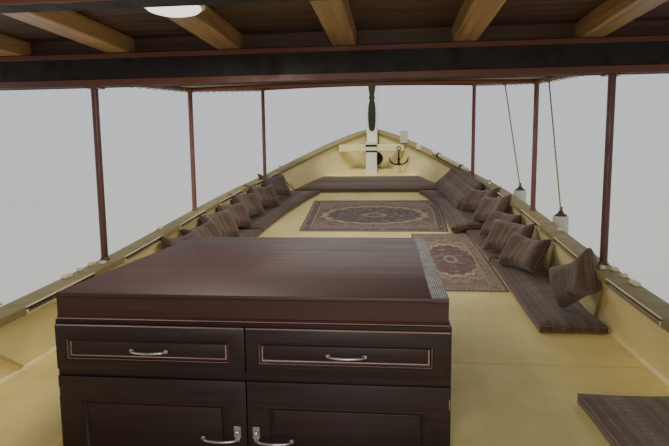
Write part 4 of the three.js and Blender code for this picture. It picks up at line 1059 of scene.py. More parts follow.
def cap_rails(finish, pale, steel, hollow, strip, rib):
    soft, depth = 0.007, 0.05
    for name, side in SIDES:
        form = Form()
        marks = set(steps(STERN_Y, BOW_Y - 0.004, 130))
        for start in SLOT_STARTS:
            marks |= {start - 0.0005, start, start + SLOT_LENGTH, start + SLOT_LENGTH + 0.0005}
        marks = sorted(marks)
        slotted = [any(start <= y <= start + SLOT_LENGTH for start in SLOT_STARTS) for y in marks]
        rings = []
        for y, cut in zip(marks, slotted):
            inner, outer, z = rail_inner_x(y), rail_outer_x(y), rail_z(y)
            back = inner + depth * cut
            ring = [
                (back, z - 0.06), (back, z - 0.013), (inner, z - 0.012), (inner, z - soft),
                (inner + soft * 0.3, z - soft * 0.3), (inner + soft, z), (outer - 0.014, z),
                (outer - 0.004, z - 0.004), (outer, z - 0.014), (outer, z - 0.06),
            ]
            rings.append([(side * x, y, h) for x, h in ring])
        form.rings(rings)
        rows = [k for k in range(len(marks) - 1) if slotted[k] and slotted[k + 1]]
        # the faces inside each slot take the near-black slot finish, as painted shade in the hollow
        form.tint(3, rows, (0, 1, 9), 10)
        # along the slots the rail's soft inner top edge takes the pale finish, as a painted highlight
        form.tint(1, rows, (2, 3, 4), 10)
        # each slot has a rib along its middle, a stop at its aft end and a sill below it
        for start in SLOT_STARTS:
            end = start + SLOT_LENGTH
            rail_bars(form, side, start + 0.012, end - 0.004, 3, 0.0315, 0.009, 0.04, 0.012, 5)
            rail_bars(form, side, start + 0.001, start + 0.03, 1, 0.03, 0.028, 0.04, 0.001, 1)
            rail_bars(form, side, start - 0.02, end + 0.02, 3, 0.0605, 0.008, 0.03, -0.002, 4)
        for y, long, inset in CHOCKS:
            x, z = side * (rail_outer_x(y) - inset), rail_at(y)
            form.board(x - 0.026, x + 0.026, y - long, y + long, z - 0.012, z + 0.024, 1, 0.011)
        if side > 0:
            form.board(0.996, 1.105, 8.83, 8.95, DECK + 1.79, DECK + 1.90, 1, 0.008)
        for y in (-6.9, 0.1, 7.55 if side < 0 else 6.2):
            x = side * (rail_outer_x(y) - 0.1 * slant(y))
            horn_cleat(form, x, y, max(rail_at(y), rail_z(y)) + 0.001, 2)
        piece(
            "cap_rail_" + name + "_timber", form, [finish, pale, steel, hollow, strip, rib],
            stands_for=("cap_rail_" + name,), crease=30
        )


# Stem head, bitt, anchor and spar at the bow

LEAF = (
    (2.233, 0.014), (2.242, 0.034), (2.262, 0.052), (2.30, 0.067), (2.37, 0.079), (2.48, 0.088), (2.656, 0.091),
    (2.78, 0.086), (2.88, 0.074), (2.935, 0.060), (2.957, 0.053), (2.975, 0.060), (3.0, 0.070), (3.03, 0.070),
    (3.055, 0.060), (3.08, 0.054), (3.11, 0.062), (3.17, 0.074), (3.28, 0.086), (3.40, 0.089), (3.48, 0.074),
    (3.52, 0.048), (3.535, 0.018)
)


SHEAVE = [
    (0.145, 0), (0.148, 0.1), (0.148, 0.25), (0.13, 0.45), (0.13, 0.62), (0.148, 0.8), (0.148, 0.92), (0.135, 1),
    (0.06, 0.9), (0.05, 1.1), (0.02, 1.15),
]


def stem_head(white, black, iron, cream):
    form = Form()
    top, back, front = DECK + 3.85, 9.7003, BOW_Y + 0.2
    foot = deck_z(BOW_Y) - 0.06 + 0.0003
    outline = [
        (back, foot), (front, foot), (front + 0.03, top - 0.35), (front - 0.06, top), (back + 0.16, top),
        (back, top - 0.26)
    ]
    middle_y = sum(y for y, _ in outline) / len(outline)
    rings = []
    for x, pull in ((-SIDING, 0.012), (-SIDING + 0.012, 0), (SIDING - 0.012, 0), (SIDING, 0.012)):
        rings.append([(x, y + (pull if y < middle_y else -pull), min(z, top - pull)) for y, z in outline])
    form.rings(rings)
    # a sunk leaf in a raised border, on the face that looks aft
    leaf = []
    for z, half in LEAF:
        corners = ((-half, back - 0.002), (half, back - 0.002), (half, back + 0.02), (-half, back + 0.02))
        leaf.append([(x, y, DECK + z) for x, y in corners])
    form.rings(leaf, 1)
    border = [(half + 0.009, DECK + z) for z, half in LEAF]
    loop = [(x, back - 0.001, z) for x, z in border] + [(-x, back - 0.001, z) for x, z in reversed(border)]
    form.rod(loop, 0.0105, 8, closed=True)
    for x in (-SIDING + 0.006, SIDING - 0.006):
        form.rod([(x, back + 0.001, DECK + z) for z in (2.2, 2.8, 3.2, 3.56)], 0.008, 8)
    # apron on the deck, with its two bands
    aft, apron_top = 9.23, DECK + 1.985
    low = [deck_at(aft) + 0.0003, deck_at(back) + 0.0003]
    corners = [(-SIDING, aft, low[0]), (SIDING, aft, low[0]), (SIDING, 9.72, low[1]), (-SIDING, 9.72, low[1])]
    form.block(corners + [(x, y, apron_top) for x, y, _ in corners], 0, 0.006)
    for z0, z1 in ((1.869, 1.921), (1.747, 1.788)):
        form.board(-SIDING - 0.004, SIDING + 0.004, aft - 0.004, 9.69, DECK + z0, DECK + z1, 1, 0.002)
    # beam across the bow, and the peg that the anchor hangs from
    for side in (-1, 1):
        ends = [(0, 9.27), *((side * (between(rail_inner_x, y) - 0.001), y) for y in (9.27, 9.41)), (0, 9.41)]
        form.block([(x, y, DECK + z) for z in (1.765, 1.925) for x, y in ends], 3, 0.008)
    form.board(0.612, 0.628, 9.185, 9.28, DECK + 1.844, DECK + 1.86, 2, 0.004)
    # sheave for the anchor rope, beside the apron
    form.turned((0.115, 9.5, DECK + 1.605), (0.115, 9.44, DECK + 1.605), SHEAVE, 36, 2)
    piece(
        "stem_head_timber", form, [white, black, iron, cream], stands_for=("stem_head",),
        crease=25
    )


def bow_bitt(cream):
    form = Form()
    x, y, half, top = 0.735, 9.3, 0.083, DECK + 2.24
    around = ((-1, -1), (1, -1), (1, 1), (-1, 1))
    low = [(x + a * half, y + b * half, rail_at(y + b * half) + 0.0003) for a, b in around]
    form.block(low + [(cx, cy, top - (0.022 if cx < x else 0.0)) for cx, cy, _ in low], 0, 0.012)
    grip = half + 0.003
    form.board(x - grip, x + grip, y - grip, y + grip, DECK + 2.09, DECK + 2.105, 0, 0.003)
    piece("bow_bitt_post", form, [cream], stands_for=("bow_bitt",))


def grapnel(iron):
    form = Form()
    x, y = 0.62, 9.205
    crown, ring_z = DECK + 1.47, DECK + 1.826
    form.rod([(x, y, crown - 0.02), (x, y, crown + 0.15), (x, y, ring_z - 0.04)], [0.023, 0.019, 0.016], 14)
    form.upright(x, y, crown - 0.026, crown + 0.05, [(0.02, 0), (0.038, 0.25), (0.038, 0.65), (0.024, 1)], 18)
    form.hoop((x, y, ring_z), X, Z, 0.045, 0.009, 28, 10)
    for k in range(4):
        angle = k * pi / 2
        heading = Vector((cos(angle), sin(angle), 0))
        reach = ((0, 0), (0.1, 0.005), (0.18, 0.06), (0.215, 0.165))
        arm = [Vector((x, y, crown)) + heading * r + Vector((0, 0, z)) for r, z in reach]
        form.rod(arc(arm, 6), [0.017] * 14 + [0.015, 0.013, 0.010, 0.007, 0.004], 10)
        # a fluke on the arm's end, that narrows to its tip
        across, outward = Vector((-sin(angle), cos(angle), 0)) * 0.036, heading * 0.005
        lean = (arm[3] - arm[2]).normalized()
        corners = []
        for middle, wide in ((arm[2] + lean * 0.035, 1), (arm[3] + lean * 0.016, 0.12)):
            corners += [middle + across * wide * a + outward * b for a, b in ((-1, -1), (1, -1), (1, 1), (-1, 1))]
        form.block(corners, 0, 0.002)
    piece("grapnel_anchor_iron", form, [iron], stands_for=("grapnel_anchor",))


def spar_on_rail(pale, rope):
    form = Form()
    a, b = (Vector((rail_outer_x(y) - 0.13 * slant(y), y, rail_at(y) + 0.0439)) for y in (7.1, 8.5))
    path = [a + (b - a) * t for t in (0, 0.004, 0.02, 0.25, 0.5, 0.75, 0.98, 0.996, 1)]
    form.rod(path, [0.02, 0.034, 0.041, 0.042, 0.0415, 0.041, 0.039, 0.032, 0.018], 20)
    run = (b - a).normalized()
    side = run.cross(Z).normalized()
    up = side.cross(run)
    form.rod([p + side * 0.055 - up * 0.026 for p in path], 0.011, 10, 1)
    for at in (0.16, 0.8):
        for turn in range(4):
            form.hoop(a + (b - a) * at + run * (turn * 0.013), side, up, 0.047, 0.006, 18, 6, 1)
    piece("rail_spar_pole", form, [pale, rope], stands_for=("rail_spar",))


# Fenders on their ropes

PORTAL_POSTS = ((1.72, 2.343), (-0.88, 2.343), (-3.48, 2.3), (-6.08, 2.13), (-8.68, 1.81))
AWNING_CAMBER = 0.038
AWNING_LINES = ((1.793, 2.343, 2.385), (4.26, 2.355, 2.593), (6.88, 1.929, 2.91))


def fenders(rubber, dark, rope):
    length, radius = 0.56, 0.095
    body = [(0.02, 0), (0.06, 0.012), (0.086, 0.04), (0.094, 0.09), (0.095, 0.5), (0.094, 0.86), (0.088, 0.9)]
    cap = [(0.088, 0), (0.07, 0.4), (0.045, 0.6), (0.032, 0.75), (0.03, 0.92), (0.02, 1)]
    band = [(0.093, 0), (0.097, 0.2), (0.097, 0.8), (0.093, 1)]
    for k, (y, head) in enumerate(((5.4, 1.09), (3.7, 0.87))):
        form = Form()
        top = DECK + head
        x = max(between(lambda s: outer_x(s, top - length), y), between(rail_outer_x, y)) + radius + 0.008
        form.upright(x, y, top - length, top + 0.07, body, 32)
        form.upright(x, y, top - 0.012, top + 0.072, cap, 32, 1)
        for z in (top - 0.49, top - 0.03):
            form.upright(x, y, z, z + 0.018, band, 32)
        pipe_x, pipe_z = awning_edge(y)
        start, end = Vector((x, y, top + 0.05)), Vector((pipe_x + 0.004, y, pipe_z - 0.027))
        form.rod([start + (end - start) * t for t in steps(0, 1, 24)], 0.009, 8, 2)
        for turn in range(3):
            form.hoop((x, y, top + 0.082 + 0.016 * turn), X, Y, 0.014, 0.009, 12, 6, 2)
            form.hoop((pipe_x, y - 0.018 + 0.018 * turn, pipe_z), X, Z, 0.034, 0.008, 16, 6, 2)
        piece(
            "fender_%d_on_rope" % (k + 1), form, [rubber, dark, rope], stands_for=("fender_%d" % (k + 1),),
        )


# Roof on its portals

BEAM_BOTTOM, BEAM_TOP = DECK + 2.312, DECK + 2.612
ROOF_ENDS = (-9.1, 1.83)
JOISTS = [k * 1.05 + 0.04 for k in range(-3, 4)]


POST_RADIUS = 0.033


def stand_post(form, x, y, top, finish, steel):
    """A pipe post with its base plate, whose bolts stand on the slope of the rail."""
    reach, sides = 0.045, 20
    aft, middle, fore = rail_at(y - reach), rail_at(y), rail_at(y + reach)
    slope, foot = (fore - aft) / (2 * reach), max(aft, fore) - 0.004

    def plate(share, lift):
        rim = circle((0, 0, 0), X, Y, reach, 20)
        return [(x + p.x * share, y + p.y * share, middle + slope * p.y * share + lift) for p in rim]

    form.rod([(x, y, middle + 0.001), (x, y, foot + 0.02), (x, y, top)], POST_RADIUS, sides, finish)
    form.rings([plate(1, 0.0006), plate(1, 0.009), plate(0.94, 0.011)], finish)
    form.rod([(x, y, foot + 0.008), (x, y, foot + 0.026)], [POST_RADIUS * 1.18, POST_RADIUS * 1.04], sides, finish)
    diagonals = X + Y, Y - X
    for place in circle((0, 0, 0), diagonals[0].normalized(), diagonals[1].normalized(), 0.0385, 4):
        form.bolt((x + place.x, y + place.y, middle + slope * place.y + 0.011), Z, 0.0055, 0.005, steel)


def portals(beam_paint, batten_paint, post_paint, steel):
    beam, batten = 3.35, 3.345
    for k, (y, x) in enumerate(PORTAL_POSTS):
        form = Form()
        form.board(-beam, beam, y - 0.07, y + 0.07, BEAM_BOTTOM, BEAM_TOP - 0.0003, 0, 0.008)
        form.board(-batten, batten, y - 0.083, y - 0.066, BEAM_BOTTOM - 0.002, BEAM_BOTTOM + 0.062, 1, 0.005)
        form.board(-batten, batten, y - 0.078, y - 0.066, BEAM_TOP - 0.05, BEAM_TOP - 0.004, 1, 0.004)
        for px in (-x, x):
            stand_post(form, px, y, BEAM_BOTTOM + 0.01, 2, 3)
            form.board(px - 0.075, px + 0.075, y - 0.06, y + 0.06, BEAM_BOTTOM - 0.012, BEAM_BOTTOM + 0.002, 2, 0.003)
            for a, b in product((-0.055, 0.055), (-0.045, 0.045)):
                form.bolt((px + a, y + b, BEAM_BOTTOM - 0.012), -Z, 0.007, 0.006, 3)
        piece(
            "portal_%d_timber" % (k + 1), form, [beam_paint, batten_paint, post_paint, steel],
            stands_for=("roof_portal_%d" % (k + 1),)
        )


ROOF_HALF, ROOF_SKIN = 3.38, DECK + 2.8013


def roof_timbers(joist, ceiling, fascia, deck_over, steel):
    form = Form()
    rng = random.Random(7)
    y0, y1 = ROOF_ENDS
    for x in JOISTS:
        cuts = [y0 + 0.03, -4.75 + rng.uniform(-0.2, 0.2), y1 - 0.03]
        for a, b in zip(cuts, cuts[1:]):
            form.board(x - 0.105, x + 0.105, a + 0.001, b - 0.001, BEAM_TOP + 0.0002, DECK + 2.764, 0, 0.009)
    for side in (-1, 1):
        form.flank(side, ROOF_HALF, 3.42, y0, y1, DECK + 2.582, DECK + 2.842, 2, 0.008)
        form.flank(side, 3.415, 3.4249, y0, y1, DECK + 2.80, DECK + 2.838, 2, 0.004)
    for end, way in ((y0, 1), (y1, -1)):
        for a, b, finish in ((0, 0.02, 2), (0.02, 0.04, 1)):
            y = sorted((end + way * a, end + way * b))
            form.board(-ROOF_HALF, ROOF_HALF, y[0], y[1], BEAM_TOP + 0.0003, DECK + 2.842, finish, 0.004)
    piece("roof_timbers", form, [joist, ceiling, fascia, deck_over], stands_for=("roof_deck",))
    rows, courses = 62, 34
    pitch, width = (y1 - y0 - 0.08) / rows, 2 * ROOF_HALF / courses
    slat, plank = Form(), Form()
    slat.board(-ROOF_HALF, ROOF_HALF, y0 + 0.0415, y0 + 0.0385 + pitch, DECK + 2.7628, DECK + 2.789, 0, 0.004)
    plank.board(-3.379, -3.381 + width, y0 + 0.04, y1 - 0.04, DECK + 2.7888, ROOF_SKIN, 0, 0.003)
    for name, form, finish, count, step_x, step_y in (
        ("roof_ceiling_slats", slat, ceiling, rows, 0.0, pitch),
        ("roof_top_planks", plank, deck_over, courses, width, 0.0)
    ):
        one, tree = mesh_of(name + "_one", form, laid=False), laid_tree(name + "_rows", finish)
        made = grown(name, tree, one, Count=count, Step_X=step_x, Step_Y=step_y)
        smooth_by_angle(made, 30)
        settle(name, made, "boat")
    nailed = [JOISTS[k] for k in (0, 2, 3, 4, 6)]
    heads = [((x, y0 + 0.055 + pitch * k, ROOF_SKIN), Z) for k in range(0, rows, 2) for x in nailed]
    fastenings("roof_top_nails", fastening_tree(steel), heads, 0.006)


def roof_rail(white):
    form = Form()
    x, y0, y1 = 3.29, -9.0, 1.7
    foot, bend = ROOF_SKIN + 0.001, 0.12
    top = foot + 0.72
    for z in (top, top - 0.34):
        path = [(-x, y0, z), (-x, y1 - bend, z)]
        path += [(-x + bend - bend * cos(t), y1 - bend + bend * sin(t), z) for t in steps(0.2, pi / 2, 6)]
        path += [(x - bend + bend * sin(t), y1 - bend + bend * cos(t), z) for t in steps(0, pi / 2 - 0.2, 6)]
        path += [(x, y1 - bend, z), (x, y0, z)]
        form.rod(path, 0.021, 14)
    for y, px in product(steps(y0, y1 - bend, 6), (-x, x)):
        form.rod([(px, y, foot - 0.001), (px, y, top)], 0.019, 14)
        form.upright(px, y, foot, foot + 0.016, [(0.055, 0), (0.055, 0.6), (0.03, 1)], 20)
        for k in range(4):
            a = pi / 4 + k * pi / 2
            form.bolt((px + 0.042 * cos(a), y + 0.042 * sin(a), foot + 0.01), Z, 0.006, 0.006)
    piece("roof_rail_pipes", form, [white], stands_for=("roof_rail",))


# Awning forward of the roof

def awning_edge(y):
    """Half-breadth and height of the awning's pipes along the boat."""
    for (y0, x0, z0), (y1, x1, z1) in zip(AWNING_LINES, AWNING_LINES[1:]):
        if y <= y1 or y1 == AWNING_LINES[-1][0]:
            t = (y - y0) / (y1 - y0)
            return x0 + (x1 - x0) * t, DECK + z0 + (z1 - z0) * t


PIPE_RADIUS = 0.026


def awning_pipes(paint, steel):
    form = Form()
    for y, x, _ in AWNING_LINES[1:]:
        for px in (-x, x):
            stand_post(form, px, y, awning_edge(y)[1], 0, 1)
    for side in (-1, 1):
        path = [Vector((side * x, y, DECK + z)) for y, x, z in AWNING_LINES]
        full = []
        for a, b in zip(path, path[1:]):
            full += [a + (b - a) * t for t in steps(0, 1, 10)[:-1]]
        form.rod(full + [path[-1]], PIPE_RADIUS, 16)
    first = AWNING_LINES[0]
    collar = [(0.03, 0), (0.038, 0.12), (0.038, 0.88), (0.03, 1)]
    for y, x, z in ((first[0] + 0.04, *first[1:]), *AWNING_LINES[1:]):
        bar = [(u * x, y, DECK + z + AWNING_CAMBER * (1 - u * u)) for u in steps(-1, 1, 32)]
        form.rod(bar, PIPE_RADIUS, 16)
        for px in (-x, x):
            form.upright(px, y, DECK + z - 0.034, DECK + z + 0.034, collar, 18)
    piece("awning_pipe_frame", form, [paint, steel], stands_for=("awning_frame",))


def cloth_skin(name, grid, lay, thickness, finish, stands_for):
    """A sheet of cloth from rows of points, closed on all sides."""
    rows, count = len(grid), len(grid[0])
    total = rows * count
    top = [p for row in grid for p in row]
    under = [(p[0], p[1], p[2] - thickness) for p in top]
    faces, laid = [], []
    for i, j in product(range(rows - 1), range(count - 1)):
        a, b, c, d = i * count + j, i * count + j + 1, (i + 1) * count + j + 1, (i + 1) * count + j
        uv = [lay[i][j], lay[i][j + 1], lay[i + 1][j + 1], lay[i + 1][j]]
        faces += [[a, b, c, d], [total + d, total + c, total + b, total + a]]
        laid += [uv, uv[::-1]]
    edge = [(0, j) for j in range(count)] + [(i, count - 1) for i in range(1, rows)]
    edge += [(rows - 1, j) for j in range(count - 2, -1, -1)] + [(i, 0) for i in range(rows - 2, 0, -1)]
    for (i, j), (k, m) in zip(edge, edge[1:] + edge[:1]):
        a, b = i * count + j, k * count + m
        faces.append([a, a + total, b + total, b])
        laid.append([lay[i][j], lay[i][j], lay[k][m], lay[k][m]])
    form = Form()
    form.put(top + under, faces, 0, laid)
    return soft_piece(name, form, [finish], stands_for, 60)


def cut_size(grid):
    """Flat width, length and area of the cloth that a sheet's rows of points are cut from."""
    def run(points):
        return sum((Vector(b) - Vector(a)).length for a, b in zip(points, points[1:]))
    wide = max(run(row) for row in grid)
    long = max(run([row[j] for row in grid]) for j in (0, len(grid[0]) // 2, len(grid[0]) - 1))
    area = 0
    for a, b in zip(grid, grid[1:]):
        for p, q, s in zip(a, a[1:], b):
            area += (Vector(q) - Vector(p)).cross(Vector(s) - Vector(p)).length
    return wide, long, min(area, 0.999 * wide * long)


def spread_awning(cloth, cord_finish, steel):
    bars, fore, hem = [line[0] for line in AWNING_LINES], 7.02, 0.006
    across = steps(-1, 1, 96)
    grid, lay = [], []
    for y in steps(bars[0], fore, 120):
        x, z = awning_edge(y)
        row, flat = [], []
        bay = next(((a, b) for a, b in zip(bars, bars[1:]) if a <= y <= b), None)
        droop = sin(pi * (y - bay[0]) / (bay[1] - bay[0])) if bay else 0
        for u in across:
            h = z + 0.0268 + 0.006 + AWNING_CAMBER * (1 - u * u)
            h -= 0.035 * droop * (1 - u ** 4)
            h += 0.004 * sin(y * 19 + 3 * noise.noise(Vector((u * 3, y, 0)))) * abs(u) ** 3
            h += 0.005 * noise.noise(Vector((u * x * 1.7, y * 1.3, 4)))
            px = u * (x + 0.058)
            row.append((px, y, h))
            flat.append((px, y))
        grid.append(row)
        lay.append(flat)
    cut = cut_size(grid)
    sheet = cloth_skin("awning_canvas", grid, lay, 0.004, cloth, ("awning",))
    trim = Form()
    for j in (0, len(across) - 1):
        trim.rod([(row[j][0] * 0.9985, row[j][1], row[j][2] - 0.002) for row in grid[::3]], hem, 8)
    for row in (grid[0], grid[-1]):
        trim.rod([(p[0], p[1], p[2] - 0.002) for p in row[::3]], hem, 8)
    # eyelets along both sides, and the lacing through them round the pipe
    holes = []
    turns = [2 * pi * k / 16 for k in range(16)]
    for side, column in ((-1, 1), (1, len(across) - 2)):
        for y in steps(bars[0] + 0.08, bars[-1] - 0.05, 24):
            x, z = awning_edge(y)
            row = min(grid, key=lambda r: abs(r[0][1] - y))
            holes.append((Vector(row[column]) + Vector((0, 0, 0.002)), Z))
            loop = []
            for t in turns:
                out = x + 0.036 * cos(t) + 0.008 * (cos(t) > 0.3)
                loop.append((side * out, y + 0.02 * sin(t / 2), z + 0.034 * sin(t)))
            trim.rod(loop, 0.0045, 6, 2, closed=True)
    trims = piece("awning_hems_and_lacing", trim, [cloth, steel, cord_finish])
    rims = grown("awning_eyelets", ring_tree(steel), seats(holes), Radius=0.012, Wire=0.003)
    smooth_by_angle(rims, 60)
    eyelets = settle("awning_eyelets", rims, "boat")


# Deckhouse

CABIN_HALF, CABIN_FORE, CABIN_AFT = 1.3, -6.4, -8.5

def casing(a, b, low, high, wide=0.05):
    """Boards round the outside of an opening: their ends along the wall, and their heights."""
    return (
        (a - wide, b + wide, high, high + wide), (a - wide, b + wide, low - wide, low),
        (a - wide, a, low, high), (b, b + wide, low, high),
    )


def sash(a, b, low, high, wide=0.03):
    """Boards round the inside of an opening."""
    return (
        (a, a + wide, low, high), (b - wide, b, low, high),
        (a + wide, b - wide, low, low + wide), (a + wide, b - wide, high - wide, high),
    )


def window(form, panes, wall, face, opening, sideways):
    """A window's casing, sash and pane in a wall, whose outside is on the face's side."""
    lap = 0.028
    a, b, low, high = opening
    pane = [(a + lap, b - lap, low + lap, high - lap)]
    for target, near, far, boards, ease in (
        (form, -0.002, 0.012, casing(*opening), 0.003), (form, -0.038, -0.022, sash(*opening), 0.002),
        (panes, -0.033, -0.027, pane, 0.001),
    ):
        depth = sorted((wall + face * near, wall + face * far))
        for start, end, z0, z1 in boards:
            x, y = (depth, (start, end)) if sideways else ((start, end), depth)
            target.board(*x, *y, z0, z1, 0, ease)


def deckhouse_trim(wood, glass, white, bronze):
    form, panes = Form(), Form()
    for side in (-1, 1):
        for y0, y1 in ((-8.25, -7.6), (-7.35, -6.7)):
            window(form, panes, side * CABIN_HALF, side, (y0, y1, DECK + 1.2, DECK + 1.95), True)
            middle = (y0 + y1) / 2
            form.flank(side, 1.262, 1.278, middle - 0.012, middle + 0.012, DECK + 1.23, DECK + 1.92, 0, 0.002)
    window(form, panes, CABIN_FORE, 1, (-1.08, 0.18, DECK + 1.18, DECK + 1.98), False)
    window(form, panes, CABIN_AFT, -1, (-0.5, 0.5, DECK + 1.3, DECK + 1.9), False)
    # corner posts, skirting and the strips over the joints of the walls' boards
    skirting = ((1.298, 0), (1.298, 0.12), (1.306, 0.12), (1.314, 0.108), (1.314, 0))
    for side in (-1, 1):
        for y, face in ((CABIN_AFT, -1), (CABIN_FORE, 1)):
            y0, y1 = sorted((y - face * 0.05, y + face * 0.012))
            form.flank(side, 1.24, 1.312, y0, y1, deck_at(y) + 0.01, BEAM_TOP - 0.002, 1, 0.006)
        rows = [[(side * x, y, deck_at(y) + 0.002 + h) for x, h in skirting] for y in (-8.45, -7.6, -6.5, -6.45)]
        form.rings(rows, 1)
        for z in (0.55, 1.08, 2.08):
            form.flank(side, 1.299, 1.309, -8.45, -6.45, DECK + z, DECK + z + 0.045, 1, 0.004)
        form.flank(side, 1.299, 1.316, -8.48, -6.42, BEAM_TOP - 0.085, BEAM_TOP - 0.01, 0, 0.006)
    # the door's jambs and head, its sill and its hinges
    for x0, x1, z0 in ((0.37, 0.42, 0.27), (1.12, 1.17, 0.27), (0.42, 1.12, 2.18)):
        form.board(x0, x1, -6.402, -6.388, DECK + z0, DECK + 2.23, 0, 0.003)
    form.board(0.37, 1.17, -6.402, -6.37, DECK + 0.235, DECK + 0.27, 0, 0.004)
    barrel = [(0.004, 0), (0.0055, 0.05), (0.0055, 0.95), (0.004, 1)]
    for z in (0.6, 1.25, 1.9):
        form.upright(1.1298, -6.385, DECK + z, DECK + z + 0.09, barrel, 12, 2)
    piece("deckhouse_trim", form, [wood, white, bronze])
    piece("deckhouse_panes", panes, [glass])


def deckhouse_door(wood, glass, bronze):
    form = Form()
    x0, x1, z0, z1 = 0.428, 1.1192, 0.278, 2.172
    y0, y1 = -6.445, -6.405
    wx0, wx1, wz0, wz1 = 0.56, 0.98, 1.3, 1.95
    for a, b, low, high, near, far, ease in (
        # stiles and rails
        (x0, wx0, z0, z1, 0, 0, 0.003), (wx1, x1, z0, z1, 0, 0, 0.003), (wx0, wx1, wz1, z1, 0, 0, 0.003),
        (wx0, wx1, 1.16, wz0, 0, 0, 0.003), (wx0, wx1, z0, z0 + 0.2, 0, 0, 0.003),
        # panel
        (wx0, wx1, z0 + 0.19, 1.17, 0.01, 0.012, 0.002),
    ):
        form.board(a, b, y0 + near, y1 - far, DECK + low, DECK + high, 0, ease)
    for z in (z0 + 0.2, 1.135):
        form.board(wx0, wx1, y1 - 0.014, y1 - 0.004, DECK + z, DECK + z + 0.022, 0, 0.003)
    for x in (wx0, wx1 - 0.022):
        form.board(x, x + 0.022, y1 - 0.014, y1 - 0.004, DECK + z0 + 0.2, DECK + 1.157, 0, 0.003)
    form.board(wx0 - 0.005, wx1 + 0.005, -6.428, -6.422, DECK + wz0 - 0.005, DECK + wz1 + 0.005, 1, 0.001)
    knob = [
        (0.028, 0), (0.028, 0.08), (0.01, 0.14), (0.01, 0.5), (0.02, 0.6), (0.026, 0.78), (0.02, 0.95), (0.008, 1)
    ]
    form.turned((0.5, -6.408, DECK + 1.15), (0.5, -6.34, DECK + 1.15), knob, 24, 2)
    piece("cabin_door_leaf", form, [wood, glass, bronze], "cabin_door", ("cabin_door",))


RIM_SECTION = (
    (-0.016, -0.011), (-0.012, -0.0165), (0.012, -0.0165), (0.017, -0.008), (0.017, 0.008), (0.012, 0.0165),
    (-0.012, 0.0165), (-0.016, 0.011),
)

SPOKE = [
    (0.013, 0.09), (0.011, 0.2), (0.014, 0.3), (0.009, 0.36), (0.0135, 0.45), (0.0135, 0.55), (0.009, 0.64),
    (0.0135, 0.74), (0.0135, 0.82), (0.008, 0.845), (0.0135, 0.88), (0.0138, 0.95), (0.008, 1),
]


def helm(wood, bronze):
    form = Form()
    x, y, z = -0.45, -6.85, DECK + 1.0
    centre = Vector((x, y, z))
    rings = [[centre + out * (0.3 + a) + Y * b for a, b in RIM_SECTION] for out in circle((0, 0, 0), X, Z, 1, 56)]
    form.rings(rings, 0, closed=True)
    for out in circle((0, 0, 0), X, Z, 1, 6):
        form.turned(centre, centre + out * 0.385, SPOKE, 14)
    hub = [(0.02, 0), (0.04, 0.04), (0.048, 0.12), (0.048, 0.5), (0.036, 0.56), (0.036, 1)]
    form.turned((x, y - 0.035, z), (x, y + 0.0895, z), hub, 32, 1)
    piece("helm_wheel_turned", form, [wood, bronze], "helm_wheel", ("helm_wheel",))


# Serving counter

FRONTS = (
    ("left", -1.454, -0.347, -0.502, (-1.395, -0.43), (-1.318, -0.47)),
    ("right", -0.341, 0.774, -0.194, (-0.276, 0.686), (-0.22, 0.64))
)
FACE_Y, BACK_Y = -0.462, -0.4405


# The counter's slab, by its edges, and how wide its fluted strip is
SLAB_X, SLAB_Y, SLAB_Z = (-1.455, 0.765), (-0.43, 1.8), (DECK + 0.7203, DECK + 0.875)

STRIP_WIDE = 0.095


def counter_slab(wood, lipping):
    form = Form()
    (x0, x1), (aft, fore), (low, top) = SLAB_X, SLAB_Y, SLAB_Z

    def section(x, high, pull=0.0):
        y0, y1, r = aft + pull, fore - pull, 0.007
        return [(x, y, z) for y, z in (
            (y0 + 0.004, low), (y0, low + 0.006), (y0, low + 0.018), (y0 + 0.005, low + 0.022),
            (y0 + 0.005, high - 0.028), (y0, high - 0.023), (y0, high - r), (y0 + r * 0.3, high - r * 0.3),
            (y0 + r, high), (y1 - r, high), (y1, high - r), (y1, low),
        )]

    strip, sunk = x1 - STRIP_WIDE, top - 0.0043
    form.rings([
        section(x0, top - 0.004, 0.003), section(x0 + 0.003, top), section(strip - 0.0003, top),
        section(strip - 0.0002, sunk), section(x1 - 0.001, sunk),
    ])
    # a bead under the slab's front edge, in the lipping finish that is partly a painted highlight
    form.board(x0 + 0.002, x1 - 0.002, aft - 0.0012, aft + 0.01, low + 0.001, low + 0.007, 1, 0.001)
    piece("counter_slab", form, [wood, lipping], stands_for=("counter_top",), crease=40)


def fluted_strip(steel, shade):
    form = Form()
    x0, x1, low, top, flutes = SLAB_X[1] - STRIP_WIDE, SLAB_X[1], DECK + 0.871, SLAB_Z[1], 9
    profile, dark = [(x0, low), (x0, top - 0.001)], []
    for k in range(flutes):
        for share, rise in ((0.1, 0.0), (0.22, -0.0026), (0.62, -0.0026), (0.74, 0.0)):
            profile.append((x0 + (x1 - x0) * (k + share) / flutes, top + rise))
        dark += [len(profile) - 4, len(profile) - 3, len(profile) - 2]
    profile += [(x1, top - 0.001), (x1, low)]
    marks = (SLAB_Y[0], SLAB_Y[0] + 0.002, SLAB_Y[1] - 0.002, SLAB_Y[1])
    form.rings([[(x, y, z) for x, z in profile] for y in marks])
    # the flutes' hollows take the black finish, as painted shade in the grooves
    form.tint(1, range(len(marks) - 1), dark, len(profile))
    piece("counter_fluted_strip", form, [steel, shade], stands_for=("counter_edge_strip",), crease=20)


# The moulding round a panel: how far in from its edge, and how deep
MOULDING = (
    (0, 0), (0.002, 0.002), (0.004, 0.0022), (0.006, 0.0008), (0.01, 0.0008), (0.012, 0.003), (0.024, 0.013),
    (0.027, 0.0138), (0.03, 0.0125),
)


